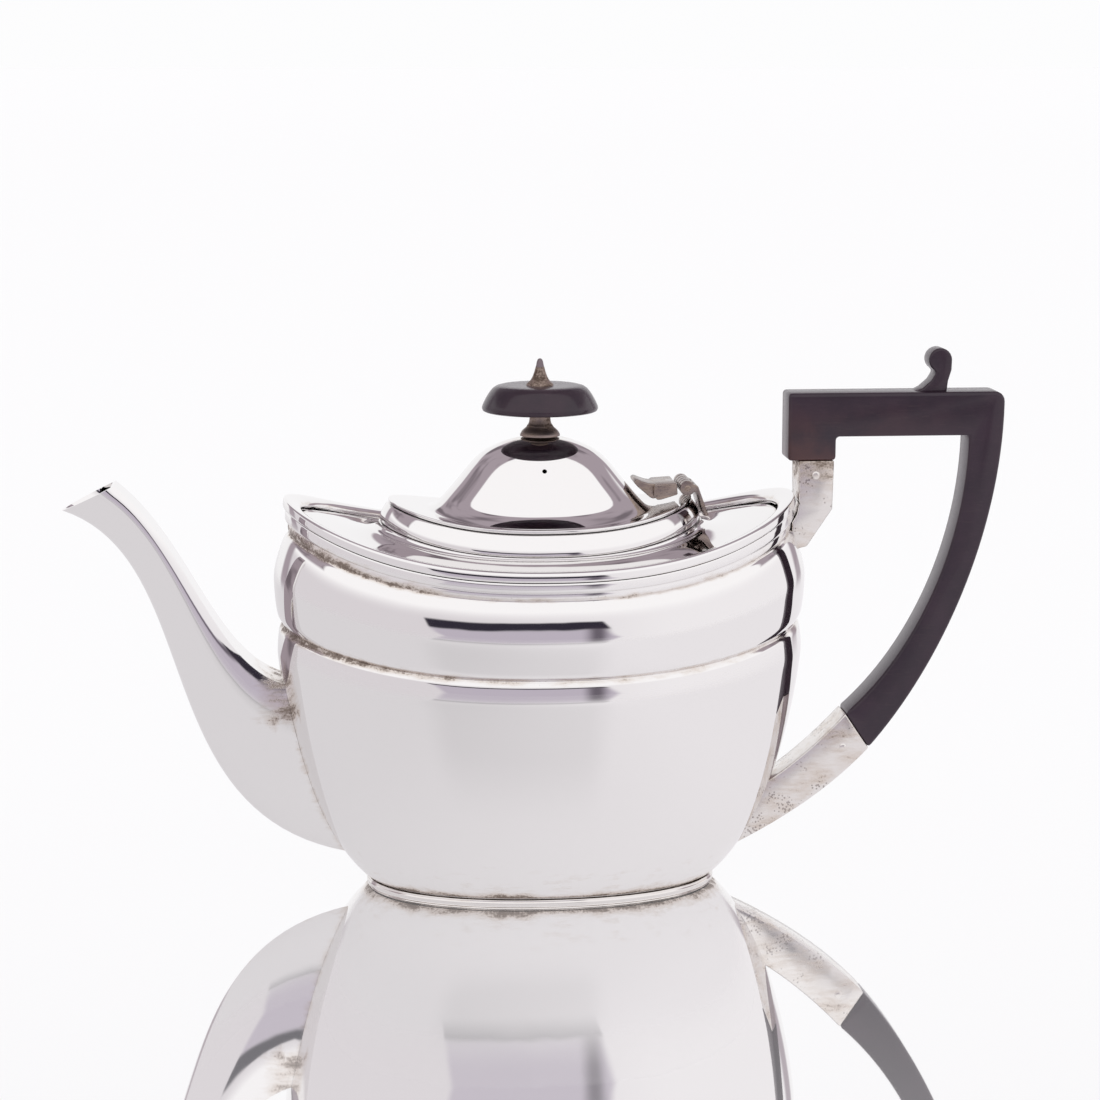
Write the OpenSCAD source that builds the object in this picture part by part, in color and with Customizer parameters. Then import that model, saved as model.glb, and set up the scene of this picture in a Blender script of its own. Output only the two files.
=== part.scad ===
// Boat-shaped silver teapot with a swept rim, hinged domed lid and ebonised wood handle.
// +X points from the spout to the handle, +Z is up, and the origin is on the table,
// under the middle of the foot.

/* [Body] */
// Half-length of the body where it meets the foot
foot_half_len = 51.5; // [49:0.1:54]
// Half-length at the top of the lower body
waist_half_len = 78; // [76:0.1:79.5]
// Half-length at the widest part of the upper bulge
bulge_half_len = 78.8; // [77:0.1:81]
// Half-length of the neck under the rim
neck_half_len = 74; // [73:0.1:75]
// Height of the girdle groove at the middle of the side
girdle_z = 70.3; // [68:0.1:72]
// Height of the neck at the middle of the side
neck_z = 93.4; // [92:0.1:94.4]
// Height of the top edge of the body wall at the middle of the side
wall_top_z = 98.6; // [97.5:0.1:100]
// Depth of the plan over its length at the foot
foot_depth_ratio = 0.62; // [0.58:0.01:0.66]
// Depth of the plan over its length at the rim
rim_depth_ratio = 0.665; // [0.63:0.005:0.7]
// Thickness of the silver sheet
wall = 1; // [0.8:0.1:1.4]
// Power of the oval plan, 2 is an ellipse
plan_power = 2.15; // [2:0.05:2.4]

/* [Sweep] */
// Rise of the girdle from the middle of the side to the end of the body
girdle_rise = 8.8; // [6:0.1:10]
// Rise of the rim from the middle of the side to the end of the body
rim_rise = 15.2; // [13:0.1:18]
// Power of the sweep, 2 is a parabola and more keeps the middle flatter
sweep_power = 2.5; // [2:0.1:3]

/* [Foot] */
// Height of the foot wire
foot_wire_h = 1.6; // [1.2:0.1:2.4]
// How far the foot wire stands out past the body
foot_wire_out = 0.8; // [0.4:0.1:1.2]
// Width of the foot wire's ring
foot_wire_w = 3; // [2.4:0.1:4]
// Thickness of the base plate
base_t = 1.2; // [0.9:0.1:1.6]

/* [Rim and shoulder] */
// Width of the convex border round the rim
border_w = 5.4; // [4.5:0.1:6.5]
// Height of the border's crown above the wall's top edge
border_h = 3; // [2.4:0.1:3.6]
// How far the border stands out past the wall's top edge
border_out = 0.7; // [0.4:0.1:1]
// Height of the shoulder plate's top above the wall's top edge
shoulder_up = 0.8; // [0.5:0.1:1.2]
// Height of the cove that joins the shoulder to the collar
cove_h = 3.2; // [2.6:0.1:3.8]
// Half-length of the lid collar at its foot, outside
collar_half_len = 47.4; // [46:0.1:49]
// Height of the lid collar above the cove
collar_h = 6.2; // [5.4:0.1:7]
// Rise of the collar's ends above the middle of its sides
collar_rise = 6.6; // [5.5:0.1:7.5]
// How far the collar's convex side leans in from its foot to its top
collar_lean = 2.4; // [1.6:0.1:3]

/* [Lid] */
// How far the lid's edge lies inside the top of the collar's side
lid_inset = 0.2; // [0.1:0.05:0.5]
// Gap between the closed lid and the collar's top
lid_gap = 0.3; // [0.2:0.05:0.5]
// Height of the lid's upright edge
lid_edge_h = 1; // [0.9:0.05:1.2]
// Half-length of the dome where it springs from the lid
dome_half_len = 33; // [31:0.1:35]
// Half-depth of the dome where it springs from the lid
dome_half_depth = 27.6; // [26:0.1:28.2]
// Height of the dome above the lid's ledge
dome_h = 23.6; // [21:0.1:26]
// Depth of the bezel that drops into the collar
bezel_h = 3.2; // [2.4:0.1:4]
// Side clearance between the bezel and the collar
bezel_clear = 0.7; // [0.6:0.05:1]
// Diameter of the steam vent
vent_d = 1.4; // [1:0.1:2]

/* [Hinge] */
// Radius of the hinge knuckles
knuckle_r = 2.3; // [2.1:0.05:2.6]
// Radius of the hinge pin
pin_r = 0.9; // [0.8:0.05:1]
// Running clearance of the pin in the lid's knuckles
pin_clear = 0.05; // [0.03:0.01:0.08]
// Length of the hinge across the pot
hinge_len = 16; // [14:0.5:20]
// How far the pin lies inside the end of the lid
pin_inset = 1.9; // [1.6:0.1:2.2]
// Height of the pin above the lid's top edge at the hinge
pin_up = 2.7; // [2.6:0.1:3.2]
// Gap between neighbouring knuckles
knuckle_gap = 0.3; // [0.2:0.05:0.5]

/* [Knob] */
// Radius of the ferrule's foot on the dome
ferrule_r = 5.9; // [5:0.1:6.5]
// Radius of the ferrule's stem
stem_r = 3.1; // [2.8:0.1:3.5]
// Height of the ferrule
ferrule_h = 7.8; // [6:0.1:9]
// Radius of the wooden disc
disc_r = 17.1; // [15:0.1:19]
// Thickness of the wooden disc
disc_h = 7.8; // [7:0.1:9.4]
// Height of the finial above the disc
finial_h = 7.8; // [6:0.1:10]
// Radius of the finial's stud
stud_r = 1.5; // [1.2:0.1:1.8]

/* [Spout] */
// Reach of the spout's lip from the middle of the pot
lip_reach = 140; // [136:0.5:144]
// Height of the spout's lip
lip_z = 113.3; // [111:0.1:116]
// Half-width of the spout at its root
spout_root_w = 12; // [10.5:0.1:13]
// Half-width of the spout at its mouth
spout_mouth_w = 7.4; // [6.8:0.1:8.5]
// Diameter of each strainer hole
strainer_d = 3.2; // [2.6:0.1:3.6]
// Distance between strainer holes
strainer_pitch = 5.4; // [5:0.1:6]

/* [Handle] */
// Thickness of the wooden grip across the pot
grip_t = 12.6; // [11.5:0.1:14]
// Height of the grip's top bar, upper face
bar_top_z = 146; // [144:0.1:148]
// Depth of the grip's top bar
bar_depth = 13; // [12:0.1:14.5]
// Outermost reach of the grip
grip_reach = 137.8; // [135:0.1:140]
// Thickness of the handle sockets across the pot
socket_t = 12; // [11:0.1:12.6]
// Wall of the hollow lower socket
socket_wall = 1.6; // [1.2:0.1:2]
// Half-length of the square tenons
tenon_half = 3.6; // [3.2:0.1:4]
// Depth of the tenons in their sockets
tenon_len = 10; // [8:0.5:11]
// Clearance of the tenons in their sockets
tenon_clear = 0.1; // [0.05:0.01:0.15]
// Radius of the pins that hold the grip
rivet_r = 1.2; // [1:0.05:1.4]

/* [Hidden] */
$fn = 64;
around = 72;
eps = 0.01;
silver = [0.83, 0.82, 0.81];
worn_silver = [0.62, 0.58, 0.53];
ebonised = [0.17, 0.12, 0.12];

// Plan depth and sweep, as functions of the height at the middle of the side
border_half_len = neck_half_len + 1.1 + border_out;
girdle_sweep = girdle_rise / pow(waist_half_len, sweep_power);
rim_sweep = rim_rise / pow(border_half_len, sweep_power);
collar_sweep = collar_rise / pow(collar_half_len, sweep_power);
rim_top_z = wall_top_z + border_h;
shoulder_z = wall_top_z + shoulder_up;
collar_z = shoulder_z + cove_h;
function share(z, from, to) = min(1, max(0, (z - from) / (to - from)));
function sweep(z) = z < girdle_z ? girdle_sweep * pow(share(z, 0, girdle_z), 2)
    : girdle_sweep + (rim_sweep - girdle_sweep) * share(z, girdle_z, wall_top_z)
        + (collar_sweep - rim_sweep) * share(z, rim_top_z, collar_z);
function depth_ratio(z) = foot_depth_ratio
    + (rim_depth_ratio - foot_depth_ratio) * min(1, max(z, 0) / wall_top_z);
function swept_z(x, z) = z + sweep(z) * pow(abs(x), sweep_power);

// A row is [half-length, half-depth, height at the middle of the side]
function row(a, z) = [a, a * depth_ratio(z), z];
function sgn_pow(v) = sign(v) * pow(abs(v), 2 / plan_power);
function row_point(r, j) =
    let (ang = 360 * j / around, x = r[0] * sgn_pow(cos(ang)), y = r[1] * sgn_pow(sin(ang)))
    [x, y, swept_z(x, r[2])];
function bezier(p, t) = p[0] * pow(1 - t, 3) + 3 * p[1] * pow(1 - t, 2) * t
    + 3 * p[2] * (1 - t) * t * t + p[3] * pow(t, 3);
function reversed(list) = [for (i = [len(list) - 1:-1:0]) list[i]];

// Rows moved inwards by the sheet's thickness, square to the profile
function tangent(rows, i) = let (a = rows[max(i - 1, 0)], b = rows[min(i + 1, len(rows) - 1)])
    [b[0] - a[0], b[2] - a[2]] / norm([b[0] - a[0], b[2] - a[2]]);
function inset(rows, t) = [for (i = [0:len(rows) - 1]) let (d = tangent(rows, i))
    [rows[i][0] - t * d[1], rows[i][1] - t * d[1], rows[i][2] + t * d[0]]];
function below(rows, top) = [for (r = rows) [r[0], r[1], min(r[2], top)]];

// Wraps a closed loop of rows round the oval plan
module swept_ring(rows) {
    m = len(rows);
    points = [for (r = rows) for (j = [0:around - 1]) row_point(r, j)];
    faces = [for (i = [0:m - 1]) for (j = [0:around - 1])
        let (k = (i + 1) % m, l = (j + 1) % around,
            p = i * around + j, q = k * around + j, r = k * around + l, s = i * around + l)
        each [[p, q, r], [p, r, s]]];
    polyhedron(points, faces, convexity = 10);
}

// Fills a stack of rows, closed by a point below and a point above
module swept_solid(rows) {
    m = len(rows);
    low = m * around;
    points = concat([for (r = rows) for (j = [0:around - 1]) row_point(r, j)],
        [[0, 0, rows[0][2]], [0, 0, rows[m - 1][2]]]);
    faces = concat(
        [for (i = [0:m - 2]) for (j = [0:around - 1])
            let (l = (j + 1) % around, p = i * around + j, q = p + around,
                r = (i + 1) * around + l, s = i * around + l)
            each [[p, q, r], [p, r, s]]],
        [for (j = [0:around - 1]) [low, j, (j + 1) % around]],
        [for (j = [0:around - 1]) let (t = (m - 1) * around) [low + 1, t + (j + 1) % around, t + j]]);
    polyhedron(points, faces, convexity = 6);
}

// Joins loops of equal length. A loop runs out along one skin and back along the other,
// so each end is closed by a strip between the skins
module loft(loops) {
    m = len(loops);
    n = len(loops[0]);
    points = [for (l = loops) each l];
    faces = concat(
        [for (i = [0:m - 2]) for (j = [0:n - 1])
            let (l = (j + 1) % n, p = i * n + j, q = p + n, r = (i + 1) * n + l, s = i * n + l)
            each [[p, q, r], [p, r, s]]],
        [for (j = [0:n / 2 - 2]) let (l = n - 1 - j) each [[j, j + 1, l - 1], [j, l - 1, l]]],
        [for (j = [0:n / 2 - 2]) let (e = (m - 1) * n, l = e + n - 1 - j)
            each [[e + j, l - 1, e + j + 1], [e + j, l, l - 1]]]);
    polyhedron(points, faces, convexity = 10);
}
module oval_plate(a, b, h) {
    linear_extrude(h)
        polygon([for (j = [0:around - 1]) let (p = row_point([a, b, 0], j)) [p[0], p[1]]]);
}

// Body profile: lower body, groove, bulge, neck and flare
shoulder_h = 7.6;
waist_z = girdle_z - shoulder_h;
lower_curve = [[foot_half_len, foot_wire_h], [foot_half_len + 11.5, foot_wire_h + 8.4],
    [waist_half_len - 3.8, waist_z - 27], [waist_half_len, waist_z]];
lower_rows = [for (i = [0:9]) let (p = bezier(lower_curve, i / 9)) row(p[0], p[1])];
// Rows of the rounded edge above the waist, set in equally all round
function waist_row(in, z) =
    [waist_half_len - in, waist_half_len * depth_ratio(waist_z) - in, z];
edge_in = 0.9;
groove_in = 1.7;
groove_half_len = waist_half_len - groove_in;
waist_rows = concat([for (t = [0.4, 0.7, 0.95]) waist_row(edge_in * t * t, waist_z + shoulder_h * t)],
    [waist_row(groove_in, girdle_z)]);
bulge_h = neck_z - girdle_z;
bulge_rows = [for (ang = [-60:24:84]) let (s = (1 + sin(ang)) / 2)
    row(groove_half_len + 0.4 + (bulge_half_len - groove_half_len - 0.4) * cos(ang)
        - (groove_half_len + 0.4 - neck_half_len) * max(0, sin(ang)),
        girdle_z + 0.6 + (bulge_h - 1.2) * s)];
neck_rows = [row(neck_half_len, neck_z), row(neck_half_len + 0.4, neck_z + 0.5),
    row(neck_half_len + 0.4, neck_z + 1.7), row(neck_half_len, neck_z + 2.1),
    row(neck_half_len + 0.7, neck_z + 2.5), row(neck_half_len + 1.1, wall_top_z)];
body_rows = concat(lower_rows, waist_rows, bulge_rows, neck_rows);
body_inner = below(inset(body_rows, wall), wall_top_z);
body_table = [for (r = body_rows) [r[2], r[0]]];
groove_row = len(lower_rows) + len(waist_rows) - 1;

module body_solid() {
    swept_solid(body_rows);
}
// The wall between two rows of the profile
module body_band(from, to) {
    swept_ring(concat([for (i = [from:to]) body_rows[i]], [for (i = [to:-1:from]) body_inner[i]]));
}
// Centre of the strainer, on the end of the body inside the spout's root
strainer_z = 36;
strainer_cut = 28;
module strainer_holes() {
    for (u = [-1:1], v = [-2:2])
        if (abs(u) + abs(v) < 3)
            translate([-lookup(strainer_z, body_table) - strainer_cut / 2, u * strainer_pitch,
                strainer_z + v * strainer_pitch])
                rotate([0, 90, 0]) cylinder(d = strainer_d, h = strainer_cut, $fn = 24);
}
module lower_body() {
    color(silver)
        difference() {
            body_band(0, groove_row);
            strainer_holes();
        }
}
module upper_body() {
    color(silver) body_band(groove_row, len(body_rows) - 1);
}
module base_plate() {
    color(worn_silver)
        translate([0, 0, foot_wire_h])
            oval_plate(body_inner[0][0], body_inner[0][1], base_t);
}
module foot_wire() {
    a = foot_half_len + foot_wire_out;
    step_h = foot_wire_h / 2;
    color(worn_silver)
        difference() {
            union() {
                oval_plate(a, a * foot_depth_ratio, step_h + eps);
                translate([0, 0, step_h])
                    oval_plate(a - foot_wire_out / 2, (a - foot_wire_out / 2) * foot_depth_ratio, step_h);
            }
            translate([0, 0, -1])
                oval_plate(a - foot_wire_w, a * foot_depth_ratio - foot_wire_w, foot_wire_h + 2);
        }
}

// Border: a convex moulding on the wall's top edge
border_in = border_half_len - border_w;
function border_row(a, z) = [a, border_half_len * rim_depth_ratio - (border_half_len - a), z];
module rim_border() {
    color(silver)
        swept_ring([border_row(border_half_len - border_out, wall_top_z),
            border_row(border_half_len - 0.05, wall_top_z + 0.35),
            border_row(border_half_len, wall_top_z + 1.5),
            border_row(border_half_len - 0.15, rim_top_z - 0.5),
            border_row(border_half_len - 0.6, rim_top_z - 0.15),
            border_row(border_half_len - border_w * 0.35, rim_top_z),
            border_row(border_half_len - border_w * 0.7, rim_top_z - 0.2),
            border_row(border_in + 0.4, rim_top_z - 0.7),
            border_row(border_in, rim_top_z - 1.3), border_row(border_in, wall_top_z)]);
}
collar_top_z = collar_z + collar_h;
collar_top_len = collar_half_len - collar_lean;
collar_in = collar_top_len - wall;
collar_foot_in = collar_half_len - wall;
function collar_row(a, z) = [a, collar_half_len * rim_depth_ratio - (collar_half_len - a), z];
// The shoulder slopes up from the border to the foot of the cove
shoulder_rise = 2.3;
module shoulder_plate() {
    color(silver)
        swept_ring([border_row(border_in, shoulder_z - wall), border_row(border_in, shoulder_z),
            collar_row(collar_half_len + 11, shoulder_z + shoulder_rise * 0.12),
            collar_row(collar_half_len + 6.5, shoulder_z + shoulder_rise * 0.46),
            collar_row(collar_half_len + 2.6, shoulder_z + shoulder_rise),
            collar_row(collar_half_len + 1.1, shoulder_z + shoulder_rise + 0.35),
            collar_row(collar_half_len + 0.3, collar_z), collar_row(collar_foot_in, collar_z),
            collar_row(collar_foot_in, shoulder_z + shoulder_rise - wall),
            collar_row(collar_half_len + 6.5, shoulder_z + shoulder_rise * 0.46 - wall),
            collar_row(collar_half_len + 11, shoulder_z + shoulder_rise * 0.12 - wall)]);
}
module lid_collar() {
    side = [for (t = [0:0.125:1]) [collar_lean * pow(t, 1.8), collar_z + collar_h * t]];
    color(silver)
        swept_ring(concat([for (p = side) collar_row(collar_half_len - p[0], p[1])],
            [for (p = reversed(side)) collar_row(collar_foot_in - p[0], p[1])]));
}

// True where a point lies inside the body's outer surface
function side_z(x, z, n = 6) = n == 0 ? z
    : z - sweep(side_z(x, z, n - 1)) * pow(abs(x), sweep_power);
function in_body(p) =
    let (z = side_z(p[0], p[2]), a = lookup(z, body_table), b = a * depth_ratio(z))
    pow(abs(p[0]) / a, plan_power) + pow(abs(p[1]) / b, plan_power) < 1;

// Spout: an upper and a lower line, with the section's width between them
upper_line = [[-70, 61], [-96, 62], [-101, 102], [-lip_reach + 15.5, lip_z + 7.7]];
lower_line = [[-52, 7.5], [-120, 16], [-96.5, 98], [-lip_reach, lip_z]];
spout_steps = 18;
section_steps = 9;
function spout_w(t) = spout_mouth_w + (spout_root_w - spout_mouth_w) * pow(1 - t, 1.6);
function section_y(v) = sqrt(max(0, 1 - pow(v, 2.2))) * (0.78 + 0.36 * v);
function spout_point(t, v, side, inner) =
    let (u = bezier(upper_line, t), w = bezier(lower_line, t), d = (w - u) / norm(w - u),
        u1 = u + d * inner, w1 = w - d * inner * 1.3, p = u1 + (w1 - u1) * max(v, 0))
    [p[0], v < 0 ? 0 : side * (spout_w(t) - inner) * section_y(v), p[1]];
// Where a line of the spout leaves the body, found by halving
function root_t(v, side, inner, low = 0, high = 0.5, n = 14) = n == 0 ? (low + high) / 2
    : let (mid = (low + high) / 2)
        in_body(spout_point(mid, v, side, inner))
            ? root_t(v, side, inner, mid, high, n - 1) : root_t(v, side, inner, low, mid, n - 1);
// Places round the half section: the seam at the top, then over the side to the lower seam
section_places = concat([-1], [for (i = [0:section_steps]) 1 - pow(1 - i / section_steps, 1.35)]);
module spout_half(side) {
    n = len(section_places);
    roots = [for (inner = [0, wall]) [for (v = section_places) root_t(v, side, inner)]];
    skins = [for (k = [0, 1]) [for (i = [0:spout_steps]) [for (j = [0:n - 1])
        let (t = roots[k][j] + (1 - roots[k][j]) * i / spout_steps)
        spout_point(t, section_places[j], side, k * wall)]]];
    loops = [for (i = [0:spout_steps]) concat(skins[0][i], reversed(skins[1][i]))];
    color(silver)
        loft(side > 0 ? [for (l = loops) reversed(l)] : loops);
}
module spout_near_half() {
    spout_half(-1);
}
module spout_far_half() {
    spout_half(1);
}

// Handle: sockets soldered to the body, and one wooden grip with a tenon in each
grip_foot_z = 126;
stub_in = 73;
stub_out = 87.3;
socket_in = 76.2;
socket_out = 86.8;
upper_rivet = [81.4, 121.6];
lower_rivet = [90.9, 38.8];
outer_curve = [[grip_reach, bar_top_z - 4], [grip_reach - 0.3, 104], [121, 64], [98.8, 38.5]];
inner_curve = [[grip_reach - 10.6, bar_top_z - bar_depth], [127, 100], [113, 68], [91.6, 49.2]];
upper_socket_line = [[socket_in, grip_foot_z], [socket_out, grip_foot_z], [86.5, 111.5], [79, 100.3],
    [70, 99], [70, 107], [75.9, 110.2], [76.4, 113]];
lower_socket_line = [inner_curve[3], outer_curve[3], [91, 30], [82.5, 23.3], [73, 17.3],
    [58, 9.6], [55, 14], [62, 23.5], [67.8, 28.4]];
socket_hollow_line = [[85.5, 42], [90.5, 33], [82, 26.6], [72, 20.6], [60, 14.2], [54, 11],
    [54, 15.5], [62.5, 21], [69.5, 26.6]];
end_mid = (outer_curve[3] + inner_curve[3]) / 2;
end_dir = outer_curve[3] - inner_curve[3];
end_angle = atan2(end_dir[1], end_dir[0]);
module upright(t) {
    translate([0, t / 2, 0]) rotate([90, 0, 0]) linear_extrude(t) children();
}
tenon_root = 0.5;
module tenon_at(pos, angle, grow) {
    translate([pos[0], 0, pos[1]]) rotate([0, -angle, 0])
        translate([-tenon_half - grow, -tenon_half - grow, -tenon_len - grow])
            cube([2 * (tenon_half + grow), 2 * (tenon_half + grow), tenon_len + grow + tenon_root]);
}
module upper_tenon(grow) {
    tenon_at([(socket_in + socket_out) / 2, grip_foot_z], 0, grow);
}
module lower_tenon(grow) {
    tenon_at(end_mid, end_angle, grow);
}
module rivet(pos, r, len) {
    translate([pos[0], len / 2, pos[1]]) rotate([90, 0, 0]) cylinder(r = r, h = len, $fn = 32);
}
module upper_socket() {
    color(worn_silver)
        difference() {
            upright(socket_t) polygon(upper_socket_line);
            body_solid();
            upper_tenon(tenon_clear);
            rivet(upper_rivet, rivet_r, socket_t + 2);
        }
}
module lower_socket() {
    color(worn_silver)
        difference() {
            upright(socket_t) polygon(lower_socket_line);
            upright(socket_t - 2 * socket_wall) polygon(socket_hollow_line);
            body_solid();
            lower_tenon(tenon_clear);
            rivet(lower_rivet, rivet_r, socket_t + 2);
        }
}
scroll_r = 3.4;
scroll_at = [118.8, bar_top_z + 9.4];
scroll_line = [[111.5, bar_top_z - 1], [112, bar_top_z + 0.6], [115.6, bar_top_z + 2.6],
    [117.2, bar_top_z + 5.2], [116.6, bar_top_z + 7.4], scroll_at,
    [scroll_at[0] + scroll_r, scroll_at[1]], [121.8, bar_top_z + 4.6], [120.8, bar_top_z - 1]];
module scroll_outline() {
    translate(scroll_at) circle(scroll_r);
    polygon(scroll_line);
}
module grip_outline() {
    corner = 2.5;
    outer = [for (i = [0:20]) bezier(outer_curve, i / 20)];
    inner = [for (i = [20:-1:0]) bezier(inner_curve, i / 20)];
    polygon(concat([[stub_in, grip_foot_z], [stub_in, bar_top_z], [grip_reach - corner, bar_top_z],
        [grip_reach - corner * 0.3, bar_top_z - corner * 0.3]], outer, inner,
        [[stub_out, bar_top_z - bar_depth], [stub_out, grip_foot_z]]));
}
module handle_grip() {
    color(ebonised)
        difference() {
            union() {
                upright(grip_t) grip_outline();
                upright(grip_t * 0.62) scroll_outline();
                upper_tenon(0);
                lower_tenon(0);
            }
            rivet(upper_rivet, rivet_r, grip_t + 2);
            rivet(lower_rivet, rivet_r, grip_t + 2);
        }
}
module handle_pin_upper() {
    color(worn_silver) rivet(upper_rivet, rivet_r, socket_t + 0.6);
}
module handle_pin_lower() {
    color(worn_silver) rivet(lower_rivet, rivet_r, socket_t + 0.6);
}

// Lid: upright edge, ledge and flared dome in one sheet
lid_half_len = collar_top_len - lid_inset;
lid_z = collar_top_z + lid_gap;
ledge_z = lid_z + lid_edge_h;
lid_depth_ratio = 0.66;
function lid_row(a, z) = [a, lid_half_len * lid_depth_ratio - (lid_half_len - a), z];
// The dome is a bell: each step is [share of the length, share of the depth, share of the height]
dome_steps = [[1, 1, 0], [0.955, 0.935, 0.032], [0.925, 0.87, 0.072], [0.898, 0.81, 0.118],
    [0.866, 0.773, 0.17], [0.815, 0.745, 0.262], [0.757, 0.713, 0.368], [0.7, 0.673, 0.474],
    [0.645, 0.622, 0.58], [0.585, 0.562, 0.686], [0.505, 0.485, 0.792], [0.405, 0.398, 0.876],
    [0.29, 0.292, 0.943], [0.175, 0.185, 0.98], [0.09, 0.1, 0.995]];
dome_rows = [for (d = dome_steps)
    [dome_half_len * d[0], dome_half_depth * d[1], ledge_z + 0.05 + (dome_h - 0.05) * d[2]]];
stud_hole = stud_r + 0.3;
apex_row = [1.2, 1.2, ledge_z + dome_h];
lid_rows = concat([lid_row(lid_half_len - 0.1, lid_z), lid_row(lid_half_len, lid_z + 0.1),
        lid_row(lid_half_len, ledge_z - 0.2), lid_row(lid_half_len - 0.2, ledge_z),
        [dome_half_len + 6, dome_half_depth + 1, ledge_z],
        [dome_half_len + 1.2, dome_half_depth + 0.4, ledge_z]], dome_rows, [apex_row]);
module lid_shell() {
    under = inset(lid_rows, wall);
    inner = [for (i = [4:len(under) - 1]) under[i]];
    color(silver)
        difference() {
            swept_ring(concat(lid_rows, reversed(inner)));
            translate([0, 0, ledge_z]) cylinder(r = stud_hole, h = dome_h + 5, $fn = 32);
            translate([0, -dome_half_depth * 0.585, ledge_z + dome_h * 0.644]) rotate([60, 0, 0])
                cylinder(d = vent_d, h = 8, center = true, $fn = 24);
        }
}
module lid_bezel() {
    out = collar_in - bezel_clear;
    color(silver)
        swept_ring([collar_row(out, lid_z - bezel_h), collar_row(out, lid_z),
            collar_row(out - wall, lid_z), collar_row(out - wall, lid_z - bezel_h)]);
}

// Hinge at the handle end of the lid
pin_x = lid_half_len - pin_inset;
pin_z = swept_z(lid_half_len, ledge_z) + pin_up;
knuckles = 5;
knuckle_len = hinge_len / knuckles;
module along_pin(r, from, to) {
    translate([pin_x, to, pin_z]) rotate([90, 0, 0]) cylinder(r = r, h = to - from, $fn = 48);
}
module knuckle(i) {
    y = -hinge_len / 2 + i * knuckle_len;
    along_pin(knuckle_r, y + knuckle_gap / 2, y + knuckle_len - knuckle_gap / 2);
}
leaf_foot_x = collar_half_len + 0.4;
leaf_foot_z = swept_z(collar_half_len, collar_z + 1);
leaf_top_x = pin_x + knuckle_r + 0.6;
leaf_t = 1.5;
module hinge_body_leaf() {
    color(worn_silver)
        difference() {
            union() {
                for (i = [0:2:knuckles - 1]) {
                    knuckle(i);
                    y = -hinge_len / 2 + i * knuckle_len + knuckle_gap / 2;
                    translate([pin_x, y, pin_z - 0.9])
                        cube([leaf_top_x + 0.5 - pin_x, knuckle_len - knuckle_gap, 2.8]);
                }
                upright_slice(-hinge_len / 2, hinge_len)
                    polygon([[leaf_foot_x, leaf_foot_z], [leaf_foot_x + leaf_t, leaf_foot_z],
                        [leaf_top_x + leaf_t, pin_z + 1.9], [leaf_top_x, pin_z + 1.9]]);
            }
            along_pin(pin_r, -hinge_len, hinge_len);
        }
}
tongue_len = 15;
leaf_clear = 0.08;
// Top of the lid's ledge on the line through the hinge
ledge_line = [for (i = [5:-1:3]) let (r = lid_rows[i]) [r[0], swept_z(r[0], r[2])]];
function on_ledge(x) = [x, lookup(x, ledge_line) + leaf_clear];
module hinge_lid_leaf() {
    color(worn_silver)
        difference() {
            union() {
                for (i = [1:2:knuckles - 1]) {
                    knuckle(i);
                    y = -hinge_len / 2 + i * knuckle_len + knuckle_gap / 2;
                    upright_slice(y, knuckle_len - knuckle_gap)
                        polygon([[pin_x, pin_z - knuckle_r], [pin_x, pin_z + knuckle_r],
                            [pin_x - 5, pin_z + 0.6], [pin_x - 5, pin_z - knuckle_r]]);
                }
                upright_slice(-hinge_len / 2, hinge_len)
                    polygon([[pin_x - 3.2, pin_z - 0.4], [pin_x - 5.5, pin_z + 0.9],
                        [pin_x - 10, pin_z], [pin_x - tongue_len, pin_z + 2.4],
                        [pin_x - tongue_len - 0.6, pin_z + 1.6], on_ledge(pin_x - 10.6) + [0, 1.8],
                        on_ledge(pin_x - 10.6), on_ledge(ledge_line[1][0]), on_ledge(pin_x - 3.2)]);
            }
            along_pin(pin_r + pin_clear, -hinge_len, hinge_len);
            for (i = [0:2:knuckles - 1]) {
                y = -hinge_len / 2 + i * knuckle_len;
                along_pin(knuckle_r + 0.35, y - knuckle_gap / 2, y + knuckle_len + knuckle_gap / 2);
            }
        }
}
module upright_slice(y, t) {
    translate([0, y + t, 0]) rotate([90, 0, 0]) linear_extrude(t) children();
}
module hinge_pin() {
    color(worn_silver) along_pin(pin_r, -hinge_len / 2 - 0.4, hinge_len / 2 + 0.4);
}

// Knob: ferrule on the dome, wooden disc, and the finial whose stud holds them
dome_top_z = ledge_z + dome_h;
disc_z = dome_top_z + ferrule_h;
disc_top_z = disc_z + disc_h;
stud_fit = 0.08;
nut_h = 2.2;
washer_t = 0.8;
nut_top_z = dome_top_z - wall - washer_t - 0.7;
module turned(points) {
    rotate_extrude() polygon(points);
}
bore_r = stud_r + stud_fit;
ferrule_line = [[bore_r, dome_top_z], [ferrule_r, dome_top_z], [ferrule_r - 0.3, dome_top_z + 0.9],
    [ferrule_r - 0.8, dome_top_z + 1.7], [stem_r + 1.2, dome_top_z + 2.5],
    [stem_r + 0.5, dome_top_z + 3.2], [stem_r, dome_top_z + 4.4],
    [stem_r, dome_top_z + ferrule_h - 1.4], [stem_r + 0.4, disc_z], [bore_r, disc_z]];
disc_line = [[bore_r, disc_z], [disc_r - 2, disc_z], [disc_r - 0.7, disc_z + 0.15],
    [disc_r - 0.1, disc_z + 0.6], [disc_r, disc_z + 1.1], [disc_r - 0.4, disc_z + 2.4],
    [disc_r - 1.7, disc_z + 4.8], [disc_r - 3, disc_top_z - 1.3], [disc_r - 4.2, disc_top_z - 0.4],
    [disc_r - 5.6, disc_top_z], [bore_r, disc_top_z]];
stud_end_z = nut_top_z - nut_h - 1;
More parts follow.
